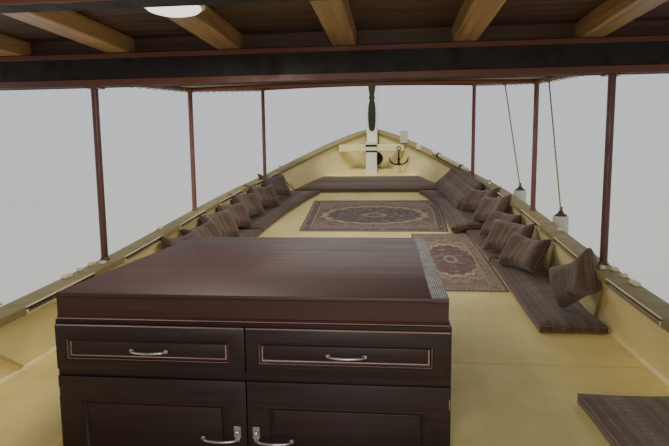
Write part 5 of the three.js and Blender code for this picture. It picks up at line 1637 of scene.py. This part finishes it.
def panelled(form, edges, panel, bead):
    """A front with a recessed panel in an ogee moulding. The edges are x0, x1, z0, z1."""
    def rect(around, inset, y):
        a, b, c, d = around
        return [(x, y, z) for x, z in (
            (a + inset, c + inset), (b - inset, c + inset), (b - inset, d - inset), (a + inset, d - inset),
        )]

    rings = [
        rect(edges, 0, BACK_Y), rect(edges, 0, FACE_Y + 0.003), rect(edges, 0.001, FACE_Y + 0.001),
        rect(edges, 0.003, FACE_Y)
    ]
    rings += [rect(panel, inset, FACE_Y + deep) for inset, deep in MOULDING]
    start = len(form.finish)
    form.rings(rings)
    # the bottom and side slopes of the moulding take the bead finish; on the drawers this is the lipping finish,
    # painted lighter as a painted highlight
    form.tint(bead, (8, 10, 11), (0, 1, 3), 4, start)


BUTTON = [(0.013, 0), (0.013, 0.5), (0.009, 1)]


def bow_handle(form, x, z, finish):
    foot, reach = FACE_Y + 0.006, 0.1
    bow = ((-reach, 0), (-0.08, -0.03), (0, -0.044), (0.08, -0.03), (reach, 0))
    path = arc([(x + off, foot + out, z) for off, out in bow], 9)
    radii = [0.0065 + 0.0022 * sin(pi * k / (len(path) - 1)) for k in range(len(path))]
    form.rod(path, radii, 14, finish, flat=0.8)
    for px in (x - reach, x + reach):
        form.turned((px, FACE_Y + 0.002, z), (px, FACE_Y - 0.006, z), BUTTON, 20, finish)


def counter_fronts(wood, inside, steel, lipping):
    pin = [(0.002, 0), (0.0035, 0.06), (0.0035, 0.94), (0.002, 1)]
    thumb = [(0.007, 0), (0.006, 0.4), (0.012, 0.6), (0.013, 0.85), (0.008, 1)]
    for name, x0, x1, handle_x, drawer_panel, door_panel in FRONTS:
        form = Form()
        panelled(form, (x0, x1, DECK + 0.432, DECK + 0.7), (*drawer_panel, DECK + 0.488, DECK + 0.623), 3)
        # the drawer's top edge, in the lipping finish that is partly a painted highlight
        form.board(x0 + 0.001, x1 - 0.001, FACE_Y - 0.005, FACE_Y + 0.004, DECK + 0.691, DECK + 0.7, 3, 0.0035)
        # the drawer's box: front, back, two sides and bottom
        a, b, low, high = x0 + 0.031, x1 - 0.031, DECK + 0.463, DECK + 0.64
        form.board(a, b, BACK_Y, -0.428, low, high, 1, 0.002)
        form.board(a, b, -0.008, 0.005, low, high, 1, 0.002)
        form.board(a, a + 0.013, -0.428, -0.008, low, high, 1, 0.002)
        form.board(b - 0.013, b, -0.428, -0.008, low, high, 1, 0.002)
        form.board(a + 0.012, b - 0.012, -0.43, -0.006, low + 0.001, low + 0.013, 1, 0.001)
        bow_handle(form, (x0 + x1) / 2, DECK + 0.552, 2)
        piece(
            "drawer_" + name + "_joinery", form, [wood, inside, steel, lipping], "drawer_" + name,
            ("drawer_" + name,), crease=30
        )
        door = Form()
        panelled(door, (x0, x1, DECK - 0.225, DECK + 0.392), (*door_panel, DECK - 0.11, DECK + 0.251), 0)
        bow_handle(door, handle_x, DECK + 0.05, 1)
        latch_x, latch_z = handle_x + (0.1 if name == "left" else -0.1), DECK + 0.094
        door.board(
            latch_x - 0.02, latch_x + 0.02, FACE_Y - 0.004, FACE_Y + 0.001, latch_z - 0.036, latch_z + 0.036, 1, 0.003
        )
        door.turned((latch_x, FACE_Y - 0.003, latch_z), (latch_x, FACE_Y - 0.022, latch_z), thumb, 18, 1)
        hinge_x = x0 + 0.004 if name == "left" else x1 - 0.004
        for z in (-0.12, 0.27):
            door.upright(hinge_x, FACE_Y + 0.002, DECK + z, DECK + z + 0.055, pin, 10, 1)
        piece(
            "cupboard_" + name + "_joinery", door, [wood, steel], "cupboard_door_" + name, ("cupboard_door_" + name,),
            crease=30
        )


def lamp(rim_paint, glow):
    form = Form()
    x, y, top = -0.93, 0.2, BEAM_TOP - 0.0003
    bowl = [(0.012, 0), (0.08, 0.03), (0.127, 0.14), (0.16, 0.36), (0.175, 0.64), (0.179, 1)]
    form.upright(x, y, top - 0.024, top, [(0.186, 0), (0.198, 0.2), (0.2, 0.8), (0.195, 1)], 56)
    form.upright(x, y, top - 0.0598, top - 0.012, bowl, 56, 1)
    piece("ceiling_lamp_bowl", form, [rim_paint, glow], stands_for=("ceiling_lamp",), crease=50)


# Signal mast and roof ladder

def signal_mast(white, glass, dark):
    form = Form()
    y, foot = -5.4, ROOF_SKIN + 0.001
    head = foot + 2.3
    taper = [(0.075, 0), (0.06, 0.02), (0.054, 0.05), (0.044, 0.5), (0.034, 0.98), (0.03, 1)]
    for low, high, profile, sides, finish in (
        (foot, foot + 0.02, [(0.15, 0), (0.15, 0.7), (0.14, 1)], 32, 0),
        (foot + 0.018, head, taper, 24, 0),
        (head - 0.01, head + 0.13, [(0.05, 0), (0.058, 0.06), (0.058, 0.2), (0.046, 0.22)], 28, 2),
        (head + 0.02, head + 0.1, [(0.047, 0), (0.049, 0.1), (0.049, 0.9), (0.047, 1)], 28, 1),
        (head + 0.098, head + 0.1298, [(0.05, 0), (0.058, 0.2), (0.052, 0.6), (0.02, 1)], 28, 2),
    ):
        form.upright(0, y, low, high, profile, sides, finish)
    for place in circle((0, y, foot + 0.019), X, Y, 0.118, 6):
        form.bolt(place, Z, 0.011, 0.009)
    yard = [(x, y, head - 0.52) for x in (-0.5, -0.49, 0.49, 0.5)]
    form.rod(yard, [0.016, 0.024, 0.024, 0.016], 14)
    for side in (-1, 1):
        form.rod([(side * 0.42, y, head - 0.52), (side * 0.03, y, head - 0.2)], 0.004, 8, 2)
        form.rod([(side * 0.38, y, head - 0.545), (side * 0.38, y, head - 0.5)], 0.008, 8, 2)
    piece("signal_mast_pole", form, [white, glass, dark], stands_for=("signal_mast",))


def roof_ladder(steel):
    form = Form()
    x, half, foot_y, top_y, top, rungs = 0.8, 0.21, -9.6, -9.19, DECK + 3.15, 9
    base = deck_at(foot_y) - 0.02
    low = base + 0.0205

    def at(px, t):
        return (px, foot_y + (top_y - foot_y) * t, base + (top - base) * t)

    first = (low - base) / (top - base) + 0.002
    for px in (x - half, x + half):
        form.rod([at(px, t) for t in (first, 0.3, 0.7, 0.995, 1)], [0.024, 0.0235, 0.0235, 0.0235, 0.018], 18)
        form.upright(*at(px, first)[:2], low, low + 0.02, [(0.03, 0), (0.034, 0.3), (0.03, 1)], 18)
    for k in range(rungs):
        t = (k + 0.8) / (rungs + 0.6)
        form.rod([at(x - half, t), at(x + half, t)], 0.0155, 14)
    piece("roof_ladder_rungs", form, [steel], stands_for=("roof_ladder",))


# Mattresses and cushions

def crate(width, length, height, step):
    """A closed box of small faces with a striped lay-out that runs over its edges."""
    form = Form()
    nx, ny, nz = max(2, round(width / step)), max(2, round(length / step)), max(2, round(height / step / 1.4))

    def face(origin, a, b, na, nb, uv):
        origin, a, b = Vector(origin), Vector(a), Vector(b)
        points = [origin + a * i / na + b * j / nb for j in range(nb + 1) for i in range(na + 1)]
        faces = []
        for j, i in product(range(nb), range(na)):
            k = j * (na + 1) + i
            faces.append([k, k + 1, k + na + 2, k + na + 1])
        form.put(points, faces, 0, [[uv(points[k]) for k in quad] for quad in faces])

    w, l, h = width, length, height
    face((0, 0, 0), (w, 0, 0), (0, l, 0), nx, ny, lambda p: (p.x, p.y))
    face((0, 0, h), (w, 0, 0), (0, l, 0), nx, ny, lambda p: (p.x, p.y))
    face((0, 0, 0), (0, l, 0), (0, 0, h), ny, nz, lambda p: (p.z - h, p.y))
    face((w, 0, 0), (0, l, 0), (0, 0, h), ny, nz, lambda p: (w + h - p.z, p.y))
    face((0, 0, 0), (w, 0, 0), (0, 0, h), nx, nz, lambda p: (p.x, p.z - h))
    face((0, l, 0), (w, 0, 0), (0, 0, h), nx, nz, lambda p: (p.x, l + h - p.z))
    return form


class Stuffed:
    """A filled cover, swollen once and then laid out many times."""

    def __init__(self, name, size, step, cap, pull, pressure, rim=0.3, sharp=(12, 30), welts=None):
        self.size = size
        width, length, height = size
        self.welts = (0.0, height) if welts is None else welts
        mesh = mesh_of(name, crate(*size, step), weld=1e-5)
        self.index = {tuple(round(c, 4) for c in v.co): k for k, v in enumerate(mesh.vertices)}
        self.nx, self.ny = max(2, round(width / step)), max(2, round(length / step))
        for v in mesh.vertices:
            v.co = self.drawn_in(v.co, pull, rim, sharp)
        self.swell(mesh, cap, pressure)
        self.points = [v.co.copy() for v in mesh.vertices]
        self.faces = [tuple(p.vertices) for p in mesh.polygons]
        self.lay = [[tuple(mesh.uv_layers["lay"].data[k].uv) for k in p.loop_indices] for p in mesh.polygons]
        bpy.data.meshes.remove(mesh)

    def drawn_in(self, p, pull, rim, sharp):
        """Pulls the sides in between the corners and thins the rim."""
        w, l, h = self.size
        u, v = p.x / w * 2 - 1, p.y / l * 2 - 1
        x = w / 2 + (p.x - w / 2) * (1 - pull * (1 - v * v) / w)
        y = l / 2 + (p.y - l / 2) * (1 - pull * (1 - u * u) / l)
        full = sqrt(max(0, (1 - abs(u) ** sharp[0]) * (1 - abs(v) ** sharp[1])))
        return Vector((x, y, h / 2 + (p.z - h / 2) * (1 - rim * (1 - full))))

    def crown(self, mesh, cap):
        w, l, h = self.size
        for v in mesh.vertices:
            a, b = v.co.x / w, v.co.y / l
            full = max(0, (1 - (2 * a - 1) ** 4) * (1 - (2 * b - 1) ** 8)) ** 0.6
            v.co.z += cap * 0.7 * full * (1 if v.co.z > h / 2 else -1)

    def swell(self, mesh, cap, pressure):
        """Blows the cover up as cloth, and keeps each point within the cap of its start."""
        scene, frames = bpy.context.scene, 20
        cover = into_scene("cover", mesh)
        cloth = cover.modifiers.new("cloth", "CLOTH")
        settings = cloth.settings
        settings.quality = 4
        settings.mass = 0.4
        settings.tension_stiffness = settings.compression_stiffness = 14
        settings.shear_stiffness = 6
        settings.bending_stiffness = 0.6
        settings.use_pressure = True
        settings.uniform_pressure_force = pressure
        settings.effector_weights.gravity = 0
        cloth.point_cache.frame_start, cloth.point_cache.frame_end = 1, frames
        for k in range(1, frames + 1):
            scene.frame_set(k)
        depsgraph = bpy.context.evaluated_depsgraph_get()
        swollen = cover.evaluated_get(depsgraph).to_mesh()
        moved = [v.co.copy() for v in swollen.vertices]
        cover.evaluated_get(depsgraph).to_mesh_clear()
        for v, place in zip(mesh.vertices, moved):
            step = place - v.co
            if step.length > cap:
                step *= cap / step.length
            v.co += step
        bpy.data.objects.remove(cover)
        scene.frame_set(1)

    def border(self, height):
        """Numbers of the points round the cover at this height."""
        w, l, _ = self.size
        nx, ny = self.nx, self.ny
        ring = [(w * i / nx, 0) for i in range(nx)] + [(w, l * j / ny) for j in range(ny)]
        ring += [(w * i / nx, l) for i in range(nx, 0, -1)] + [(0, l * j / ny) for j in range(ny, 0, -1)]
        keys = [(round(x, 4), round(y, 4), round(height, 4)) for x, y in ring]
        return [self.index[key] for key in keys if key in self.index]

    def lay_out(self, name, place, cover, piping, stands_for, fill=0.85):
        """Lays a copy out by place(point), with piping along its welts."""
        form = Form()
        points = [place(p) for p in self.points]
        form.put(points, self.faces, 0, self.lay)
        for height in self.welts:
            form.rod([points[k] for k in self.border(height)[::2]], 0.0055, 6, 1, closed=True)
        made = soft_piece(name, form, [cover, piping], stands_for, 70)


def soften(x, y, seed, size, depth):
    """Creases and hollows of a cover that has been sat on."""
    where = Vector((x / size, y / size, seed))
    return depth * (noise.noise(where) * 0.6 + noise.noise(where * 2.7) * 0.3 + noise.noise(where * 7) * 0.12)


# Name, side, where each mattress starts and ends, and how far the row stands off the bulwark
MATTRESS_ROWS = (
    ("starboard_aft", 1, ((-2.895, -1.325), (-1.31, 0.268)), 0.15),
    ("starboard_fore", 1, ((1.562, 3.9), (3.91, 5.345), (5.355, 7.845)), 0.04),
    ("port_fore", -1, ((2.952, 5.34), (5.35, 7.845)), 0.04),
)


def mattresses(cover, piping):
    width, gap, rest = 0.62, 0.006, 0.0006
    swollen = Stuffed("mattress", (width - 0.016, 1.6, 0.073), 0.021, 0.016, 0.012, 5.0)
    w, l, h = swollen.size

    def above(p):
        """How far up the cover a point is, from 0 to 1."""
        return min(1, max(0, p.z / h))

    for row, side, parts, inset in MATTRESS_ROWS:
        for k, (y0, y1) in enumerate(parts):
            def place(p, side=side, inset=inset, y0=y0, y1=y1, k=k):
                # the ends keep their own length and the middle is drawn out
                y = y0 + gap + p.y * (y1 - y0 - 2 * gap) / l
                x = between(inner_x, y) - inset - width + 0.008 + p.x
                dent = soften(p.x, y, 2.0 + k, 0.34, 0.011) * above(p)
                z = p.z + gap if p.z > 0 else rest
                return Vector((side * (x + 0.004 * sin(y * 2.1 + k)), y, deck_at(y) + z + dent))
            swollen.lay_out("mattress_%s_%d" % (row, k + 1), place, cover, piping, ("mattress_" + row,))

    def doubled(p):
        """A second one on the starboard row, that sinks where it hangs over its edge."""
        y = 5.29 + p.y * 1.66 / l
        x = 1.39 - 0.06 * (y - 5.3) + p.x
        over = max(0, between(inner_x, y) - 0.66 - x)
        z = max(rest, p.z + gap) + 0.084 - min(0.05, over * 0.3)
        return Vector((x, y, deck_at(y) + z + soften(x, y, 12.0, 0.34, 0.014) * above(p)))
    swollen.lay_out("mattress_starboard_fore_4", doubled, cover, piping, ("mattress_starboard_fore",))

    def leaning(p):
        """One that stands on the row and leans on the bulwark."""
        y = 6.1 + p.y * 1.5 / l
        share = p.x / w
        tilt = 0.72 + 0.1 * sin(share * 2.6)
        up, out = share * w * cos(tilt), share * w * sin(tilt)
        x = between(inner_x, y) - 0.5 - 0.05 * sin(y * 2.3) + out - p.z * cos(tilt)
        x = min(x, lining_x(y, deck_z(y) + 0.2 + up) - 0.02 + 0.3 * max(0, share - 0.9))
        z = deck_at(y) + 0.17 + up + p.z * sin(tilt)
        return Vector((x, y, z + soften(x, y, 14.0, 0.3, 0.016)))
    swollen.lay_out("back_cushion_starboard_7", leaning, cover, piping, ("back_cushions_starboard",))

    def across_bow(p):
        y = 7.876 + p.x * 1.018 / w
        x = (between(inner_x, y) - 0.05) * (p.y / l * 2 - 1)
        dent = soften(x, y, 9.0, 0.4, 0.01) * above(p)
        return Vector((x, y, deck_at(y) + max(rest, p.z + gap) + dent))
    swollen.lay_out("mattress_bow_1", across_bow, cover, piping, ("mattress_bow",))


# Wide, high and thick, how far the sides pull in, and the pressure of the filling
CUSHIONS = (((0.8, 0.47, 0.11), 0.016, 6.0), ((0.84, 0.5, 0.1), 0.02, 5.0), ((0.72, 0.41, 0.16), 0.004, 8.0))


def back_cushions(cover, bright, piping):
    shapes = [
        Stuffed("cushion_%d" % k, size, 0.0195, 0.034, pull, pressure, 0.72, (5, 5), (size[2] / 2,))
        for k, (size, pull, pressure) in enumerate(CUSHIONS)
    ]
    rng = random.Random(11)

    def stand(name, k, foot, along, out, lean, turn, shape, cloth):
        w, h, t = shape.size
        up = (Z * cos(lean) + out * sin(lean)).normalized()
        face = along.cross(up).normalized()
        if face.dot(out) < 0:
            face = -face
        sag, twist = rng.uniform(0.5, 1.0), rng.uniform(-0.05, 0.05)
        ca, sa = cos(turn), sin(turn)

        def place(p):
            a, b = p.x - w / 2, p.y
            share = b / h
            body = (p.z - t / 2) * (1.18 - 0.36 * share)
            a, b = a * ca - (b - h / 2) * sa, h / 2 + a * sa + (b - h / 2) * ca
            slump = 0.03 * sag * max(0, share) ** 2 * (0.55 + 0.45 * cos(a / w * 5.5 + k))
            fold = soften(a, b, 20 + k, 0.15, 0.014)
            hollow = 0.03 * sag * exp(-((a - 0.1 * sin(k * 2.3)) ** 2 + (b - 0.3) ** 2) / 0.03)
            bow = 0.035 * (2 * a / w) ** 2 + twist * a * share
            return foot + along * a + up * (b - slump) + face * (body + fold + hollow - bow)
        group = "back_cushions_" + name
        shape.lay_out("back_cushion_%s_%d" % (name, k + 1), place, cloth, piping, (group,), fill=0.7)

    def row(side, name, first, marks):
        for k, (y, yaw, lean, wide) in enumerate(marks, first):
            shape = shapes[wide]
            w, h, _ = shape.size
            slope = (between(rail_inner_x, min(y + 0.25, 7.79)) - between(rail_inner_x, y - 0.25)) / 0.5
            along = Matrix.Rotation(side * yaw, 3, "Z") @ Vector((side * slope, 1, 0)).normalized()
            out = Vector((along.y, -along.x, 0)) * side
            limit = between(rail_inner_x, y - w / 2 * cos(yaw) + 0.04) + 0.05
            base_z = max(deck_at(y - w / 2), deck_at(y + w / 2)) + (0.155 if side > 0 and y > 5 else 0.087)
            foot_x = limit - w / 2 * sin(yaw) - h * sin(lean) * cos(yaw)
            turn = rng.uniform(-0.07, 0.07)
            fabric = cover if k % 3 else bright
            stand(name, k, Vector((side * foot_x, y, base_z)), along, out, lean, turn, shape, fabric)

    marks = [
        (y, 0.3 + rng.uniform(-0.1, 0.1), 0.5 + rng.uniform(-0.06, 0.08), k % 2)
        for k, y in enumerate((3.24, 3.88, 4.52, 5.14, 5.76))
    ]
    # the aftermost one is propped up on the rail
    foot, along, out = Vector((2.155, 1.8, DECK + 0.295)), Vector((0.186, -0.983, 0)), Vector((0.983, 0.186, 0))
    stand("starboard", 0, foot, along, out, -0.05, 0.46, shapes[2], bright)
    row(1, "starboard", 1, marks)
    marks = [
        (y, 0.15 + rng.uniform(-0.07, 0.07), 0.46 + rng.uniform(-0.05, 0.06), (k + 1) % 2)
        for k, y in enumerate((3.1, 3.76, 4.4, 5.06, 5.7, 6.34, 6.96))
    ]
    row(-1, "port", 0, marks)


# Carpets

def lay_carpet(name, node, x0, x1, y0, y1, finish, fringe, threads):
    nx, ny, thread = 44, 96, 0.048
    a, b = y0 + thread + 0.007, y1 - thread - 0.007
    grid, lay = [], []
    for y in steps(a, b, ny):
        # clear of the mattresses on both sides
        limit = between(inner_x, y) - 0.04 - 0.612
        left, right = max(x0, -limit), min(x1, limit)
        row, flat = [], []
        for u in steps(0, 1, nx):
            x = left + (right - left) * u
            ripple = 0.0035 * (0.5 + 0.5 * noise.noise(Vector((x * 2.2, y * 1.6, 5))))
            ripple += 0.003 * max(0, noise.noise(Vector((x * 0.9, y * 3.1, 8))))
            curl = 0.006 * max(0, abs(u - 0.5) * 2 - 0.93) / 0.07
            row.append((x, y, deck_at(y) + 0.0072 + ripple + curl))
            flat.append(((u - 0.5) * (x1 - x0), y - (a + b) / 2))
        grid.append(row)
        lay.append(flat)
    cut = cut_size(grid)
    carpet = cloth_skin(name, grid, lay, 0.0065, finish, (node,))
    places = []
    for row, way in ((grid[0], -1), (grid[-1], 1)):
        for k in range(threads):
            t = (k + 0.5) / threads * nx
            j = min(nx - 1, int(t))
            p = Vector(row[j]).lerp(Vector(row[j + 1]), t - j)
            places.append((p + Vector((0, way * -0.004, -0.0035)), (0, way, -0.02)))
    ends = settle(
        name + "_fringe", grown(name + "_fringe", fringe, seats(places), Length=thread, Radius=0.0014), "boat"
    )


# The solids that keep their shape

def repaint(finish, *names):
    for name in names:
        for place in nodes[name].material_slots:
            place.material = finish.material


def clear_glass(name, colour):
    finish = Finish(name, colour, 0.06, Transmission_Weight=0.82, IOR=1.45)
    film = cloud(finish.place(), 6, 5, 0.6)
    finish.paint(over(span(film, 0.4, 0.8, 0, 0.3), colour, darker(colour, 0.6)))
    finish.gloss(span(film, 0.4, 0.8, 0.04, 0.22))
    return finish


def lit_bowl(name, colour):
    finish = Finish(name, colour, 0.35, Emission_Strength=1.6)
    haze = cloud(finish.place(), 9, 3)
    lit = over(span(haze, 0.3, 0.7, 0, 0.2), colour, darker(colour, 0.8))
    finish.paint(lit)
    feed(finish.shader.inputs["Emission Color"], lit)
    return finish


def plain_floor():
    finish = Finish("studio_floor", tone(206, 205, 200), 0.8)
    soft = cloud(finish.place(), 0.05, 2)
    finish.paint(over(span(soft, 0.3, 0.7), tone(204, 203, 198), tone(210, 209, 204)))
    return finish


# Name, colour, grain, share of worn patches and sheen, and the deck's boards or butts
PAINTS = (
    ("deck_cream", (236, 218, 144), "y", 0.14, 0.5, None, (0.89, 2.44)),
    ("rail_cream", (142, 128, 78), "y", 0.3, 0.55),
    ("lining_cream", (250, 234, 172), "y", 0.2, 0.42),
    ("strip_cream", (206, 186, 146), "y", 0.35, 0.45),
    ("pale_cream", (222, 210, 176), "y", 0.2, 0.45),
    ("rib_brown", (112, 86, 62), "y", 0.3, 0.5),
    ("slot_shade", (34, 24, 18), "y", 0.3, 0.7),
    ("white_paint", (232, 230, 204), "z", 0.2, 0.35),
    ("black_paint", (26, 24, 24), "z", 0.2, 0.4),
    ("maroon_beam", (27, 16, 15), "x", 0.3, 0.62),
    ("batten_brown", (104, 60, 44), "x", 0.3, 0.4),
    ("post_maroon", (92, 56, 48), "z", 0.3, 0.34),
    ("pipe_maroon", (122, 78, 68), "y", 0.3, 0.34),
    ("bitt_cream", (190, 192, 158), "z", 0.25, 0.4),
    ("cockpit_paint", (188, 176, 146), "y", 0.4, 0.5, 0.14),
)

# Name, dark and light tones, grain, coat, sheen and how fine the grain is
WOODS = (
    ("joist_ochre", (130, 98, 60), (206, 166, 110), "y", 0.2, 0.42, 22),
    ("ceiling_wood", (62, 44, 36), (108, 80, 62), "x", 0.15, 0.5, 22),
    ("slab_mahogany", (48, 22, 17), (74, 38, 28), "x", 0.04, 0.5, 30),
    ("front_mahogany", (25, 11, 15), (44, 19, 23), "x", 0.08, 0.44, 30),
    # the lipping is a lighter wood, painted lighter still as a painted highlight where its beads catch the light
    ("worn_lipping", (140, 104, 94), (186, 150, 138), "x", 0.2, 0.3, 30),
    ("drawer_inside", (150, 112, 70), (198, 160, 108), "x", 0.05, 0.6, 30),
    ("cabin_hardwood", (52, 24, 16), (110, 62, 40), "z", 0.4, 0.3, 26),
    ("wheel_hardwood", (108, 62, 28), (176, 116, 58), "x", 0.6, 0.22, 40),
)

# Name, colour, sheen, way it is brushed and share of dull spots
METALS = (
    ("brushed_steel", (196, 198, 200), 0.28, "y", 0.2),
    ("fluted_steel", (150, 142, 132), 0.3, "y", 0.4),
    ("worn_bronze", (176, 130, 66), 0.34, "z", 0.4),
)

# Name, colour, sheen, how metallic, share of rust or dirt and its tone
CASTINGS = (
    ("black_iron", (34, 32, 32), 0.5, 0.5, 0.35),
    ("engine_iron", (70, 82, 78), 0.45, 0.4, 0.4),
    ("fender_rubber", (196, 192, 180), 0.55, 0, 0.12, (120, 100, 80)),
    ("fender_cap", (58, 56, 56), 0.6, 0, 0.1, (90, 84, 78)),
    ("bottom_paint", (122, 50, 40), 0.7, 0, 0.25, (96, 92, 70)),
)

BROWN, BEIGE, GREY, SEAM, PALE, ROSE, SLATE = (tone(*colour) for colour in (
    (86, 62, 50), (106, 85, 66), (90, 78, 68), (56, 42, 36), (132, 112, 90), (116, 70, 62), (68, 74, 78),
))

GREY_WIDE = 0.07

STRIPES = (
    (0.052, BROWN), (0.004, PALE), (0.05, BROWN), (0.006, SEAM), (0.046, BEIGE), (0.004, SEAM), (0.014, BEIGE),
    (0.005, ROSE), (GREY_WIDE, GREY), (0.005, ROSE), (0.012, BEIGE), (0.005, SEAM), (0.05, BROWN), (0.004, PALE),
    (0.03, BROWN), (0.006, SEAM), (0.06, BEIGE), (0.004, PALE), (0.05, BROWN), (0.008, SLATE), (0.05, BEIGE),
    (0.005, SEAM), (0.04, BROWN),
)

BRIGHT_STRIPES = (
    (0.03, BROWN), (0.006, SLATE), (0.024, BROWN), (0.005, ROSE), (0.03, BEIGE), (0.006, SEAM), (0.026, BROWN),
    (0.008, SLATE), (0.02, GREY), (0.006, ROSE), (0.03, BROWN), (0.005, PALE), (0.022, BROWN), (0.01, SLATE),
    (0.026, BEIGE), (0.005, SEAM), (0.03, BROWN), (0.007, ROSE), (0.02, BROWN),
)

def banded(stripes):
    """The stripes' whole width, and the share of it at which each one starts."""
    whole, at, bands = sum(wide for wide, _ in stripes), 0.0, []
    for wide, colour in stripes:
        bands.append((at / whole, colour))
        at += wide
    return whole, bands


def two_tone(name, first, second, pitch):
    return striped_cloth(name, tone(*first), [(0.0, tone(*first)), (0.5, tone(*second))], pitch)


def covers():
    """The mattresses' cloth, the brighter cushions' cloth and the piping."""
    pitch, bands = banded(STRIPES)
    low = next(at for at, colour in bands if colour == GREY)
    stripes = striped_cloth("striped_cover", BROWN, bands, pitch, (low, low + GREY_WIDE / pitch, tone(150, 132, 112)))
    pitch, bands = banded(BRIGHT_STRIPES)
    bright = striped_cloth("bright_cover", BROWN, bands, pitch)
    return stripes, bright, two_tone("piping_cloth", (122, 92, 74), (108, 80, 64), 0.02)


def finishes():
    made = {}
    for rows, maker, tones in (
        (PAINTS, painted_boards, 1), (WOODS, varnished, 2), (METALS, metal, 1), (CASTINGS, cast, 1)
    ):
        for name, *given in rows:
            made[name] = maker(name, *(tone(*colour) for colour in given[:tones]), *given[tones:])
    return SimpleNamespace(**made)


def build():
    place_camera()
    light_studio()
    lay_floor(plain_floor())

    on = finishes()
    topside = hull_side()
    glass = clear_glass("window_glass", tone(190, 204, 204))
    lamp_glass = lit_bowl("lamp_bowl", tone(250, 246, 232))
    rope, dark_rope = laid_rope("manila_rope", tone(170, 146, 104)), laid_rope("tarred_rope", tone(52, 42, 34))
    near_pile = carpet_pile("near_carpet", 2.52, 1.01, *(tone(*colour) for colour in (
        (146, 120, 88), (92, 50, 40), (180, 158, 120), (62, 36, 30), (92, 22, 32),
    )))
    # the far carpet has its own darker colours, and is darkened further as painted shade
    far_pile_in_painted_shade = carpet_pile("far_carpet", 1.88, 2.41, *(tone(*colour) for colour in (
        (72, 20, 20), (122, 98, 74), (176, 148, 112), (30, 18, 22), (64, 18, 22),
    )))
    stripes, bright, piping = covers()

    repaint(on.deck_cream, "deck")
    repaint(on.cockpit_paint, "cockpit_floor", "cockpit_walls")
    repaint(on.bottom_paint, "keel", "deadwood")
    repaint(topside, "stem", "sternpost", "transom", "rudder")
    repaint(on.worn_bronze, "propeller")
    repaint(on.engine_iron, "engine_block")
    repaint(on.cabin_hardwood, "cabin_front", "cabin_port", "cabin_starboard", "cabin_aft", "helm_console")
    repaint(on.front_mahogany, "counter_body")

    plank_hull(topside)
    wale_and_rubbing_strip(on.post_maroon, on.brushed_steel)
    bolt_heads(on.black_iron, on.brushed_steel)
    line_bulwarks(on.lining_cream, on.white_paint, on.strip_cream)
    cap_rails(on.rail_cream, on.pale_cream, on.brushed_steel, on.slot_shade, on.strip_cream, on.rib_brown)
    stem_head(on.white_paint, on.black_paint, on.black_iron, on.lining_cream)
    bow_bitt(on.bitt_cream)
    grapnel(on.black_iron)
    spar_on_rail(on.pale_cream, dark_rope)
    fenders(on.fender_rubber, on.fender_cap, rope)
    portals(on.maroon_beam, on.batten_brown, on.post_maroon, on.brushed_steel)
    roof_timbers(on.joist_ochre, on.ceiling_wood, on.maroon_beam, on.pale_cream, on.brushed_steel)
    roof_rail(on.white_paint)
    awning_pipes(on.pipe_maroon, on.brushed_steel)
    spread_awning(canvas("awning_canvas", tone(158, 130, 98)), rope, on.brushed_steel)
    deckhouse_trim(on.cabin_hardwood, glass, on.white_paint, on.worn_bronze)
    deckhouse_door(on.cabin_hardwood, glass, on.worn_bronze)
    helm(on.wheel_hardwood, on.worn_bronze)
    counter_slab(on.slab_mahogany, on.worn_lipping)
    fluted_strip(on.fluted_steel, on.black_paint)
    counter_fronts(on.front_mahogany, on.drawer_inside, on.brushed_steel, on.worn_lipping)
    lamp(on.white_paint, lamp_glass)
    signal_mast(on.white_paint, lamp_glass, on.black_paint)
    roof_ladder(on.brushed_steel)
    mattresses(stripes, piping)
    back_cushions(stripes, bright, piping)
    fringe = fringe_tree(two_tone("fringe_thread", (204, 184, 150), (186, 164, 130), 0.01))
    lay_carpet("near_carpet", "carpet_near", 0.77, 1.8, 2.75, 5.38, near_pile, fringe, 120)
    lay_carpet("far_carpet", "carpet_far", -1.05, 1.36, 5.41, 7.4, far_pile_in_painted_shade, fringe, 220)


build()
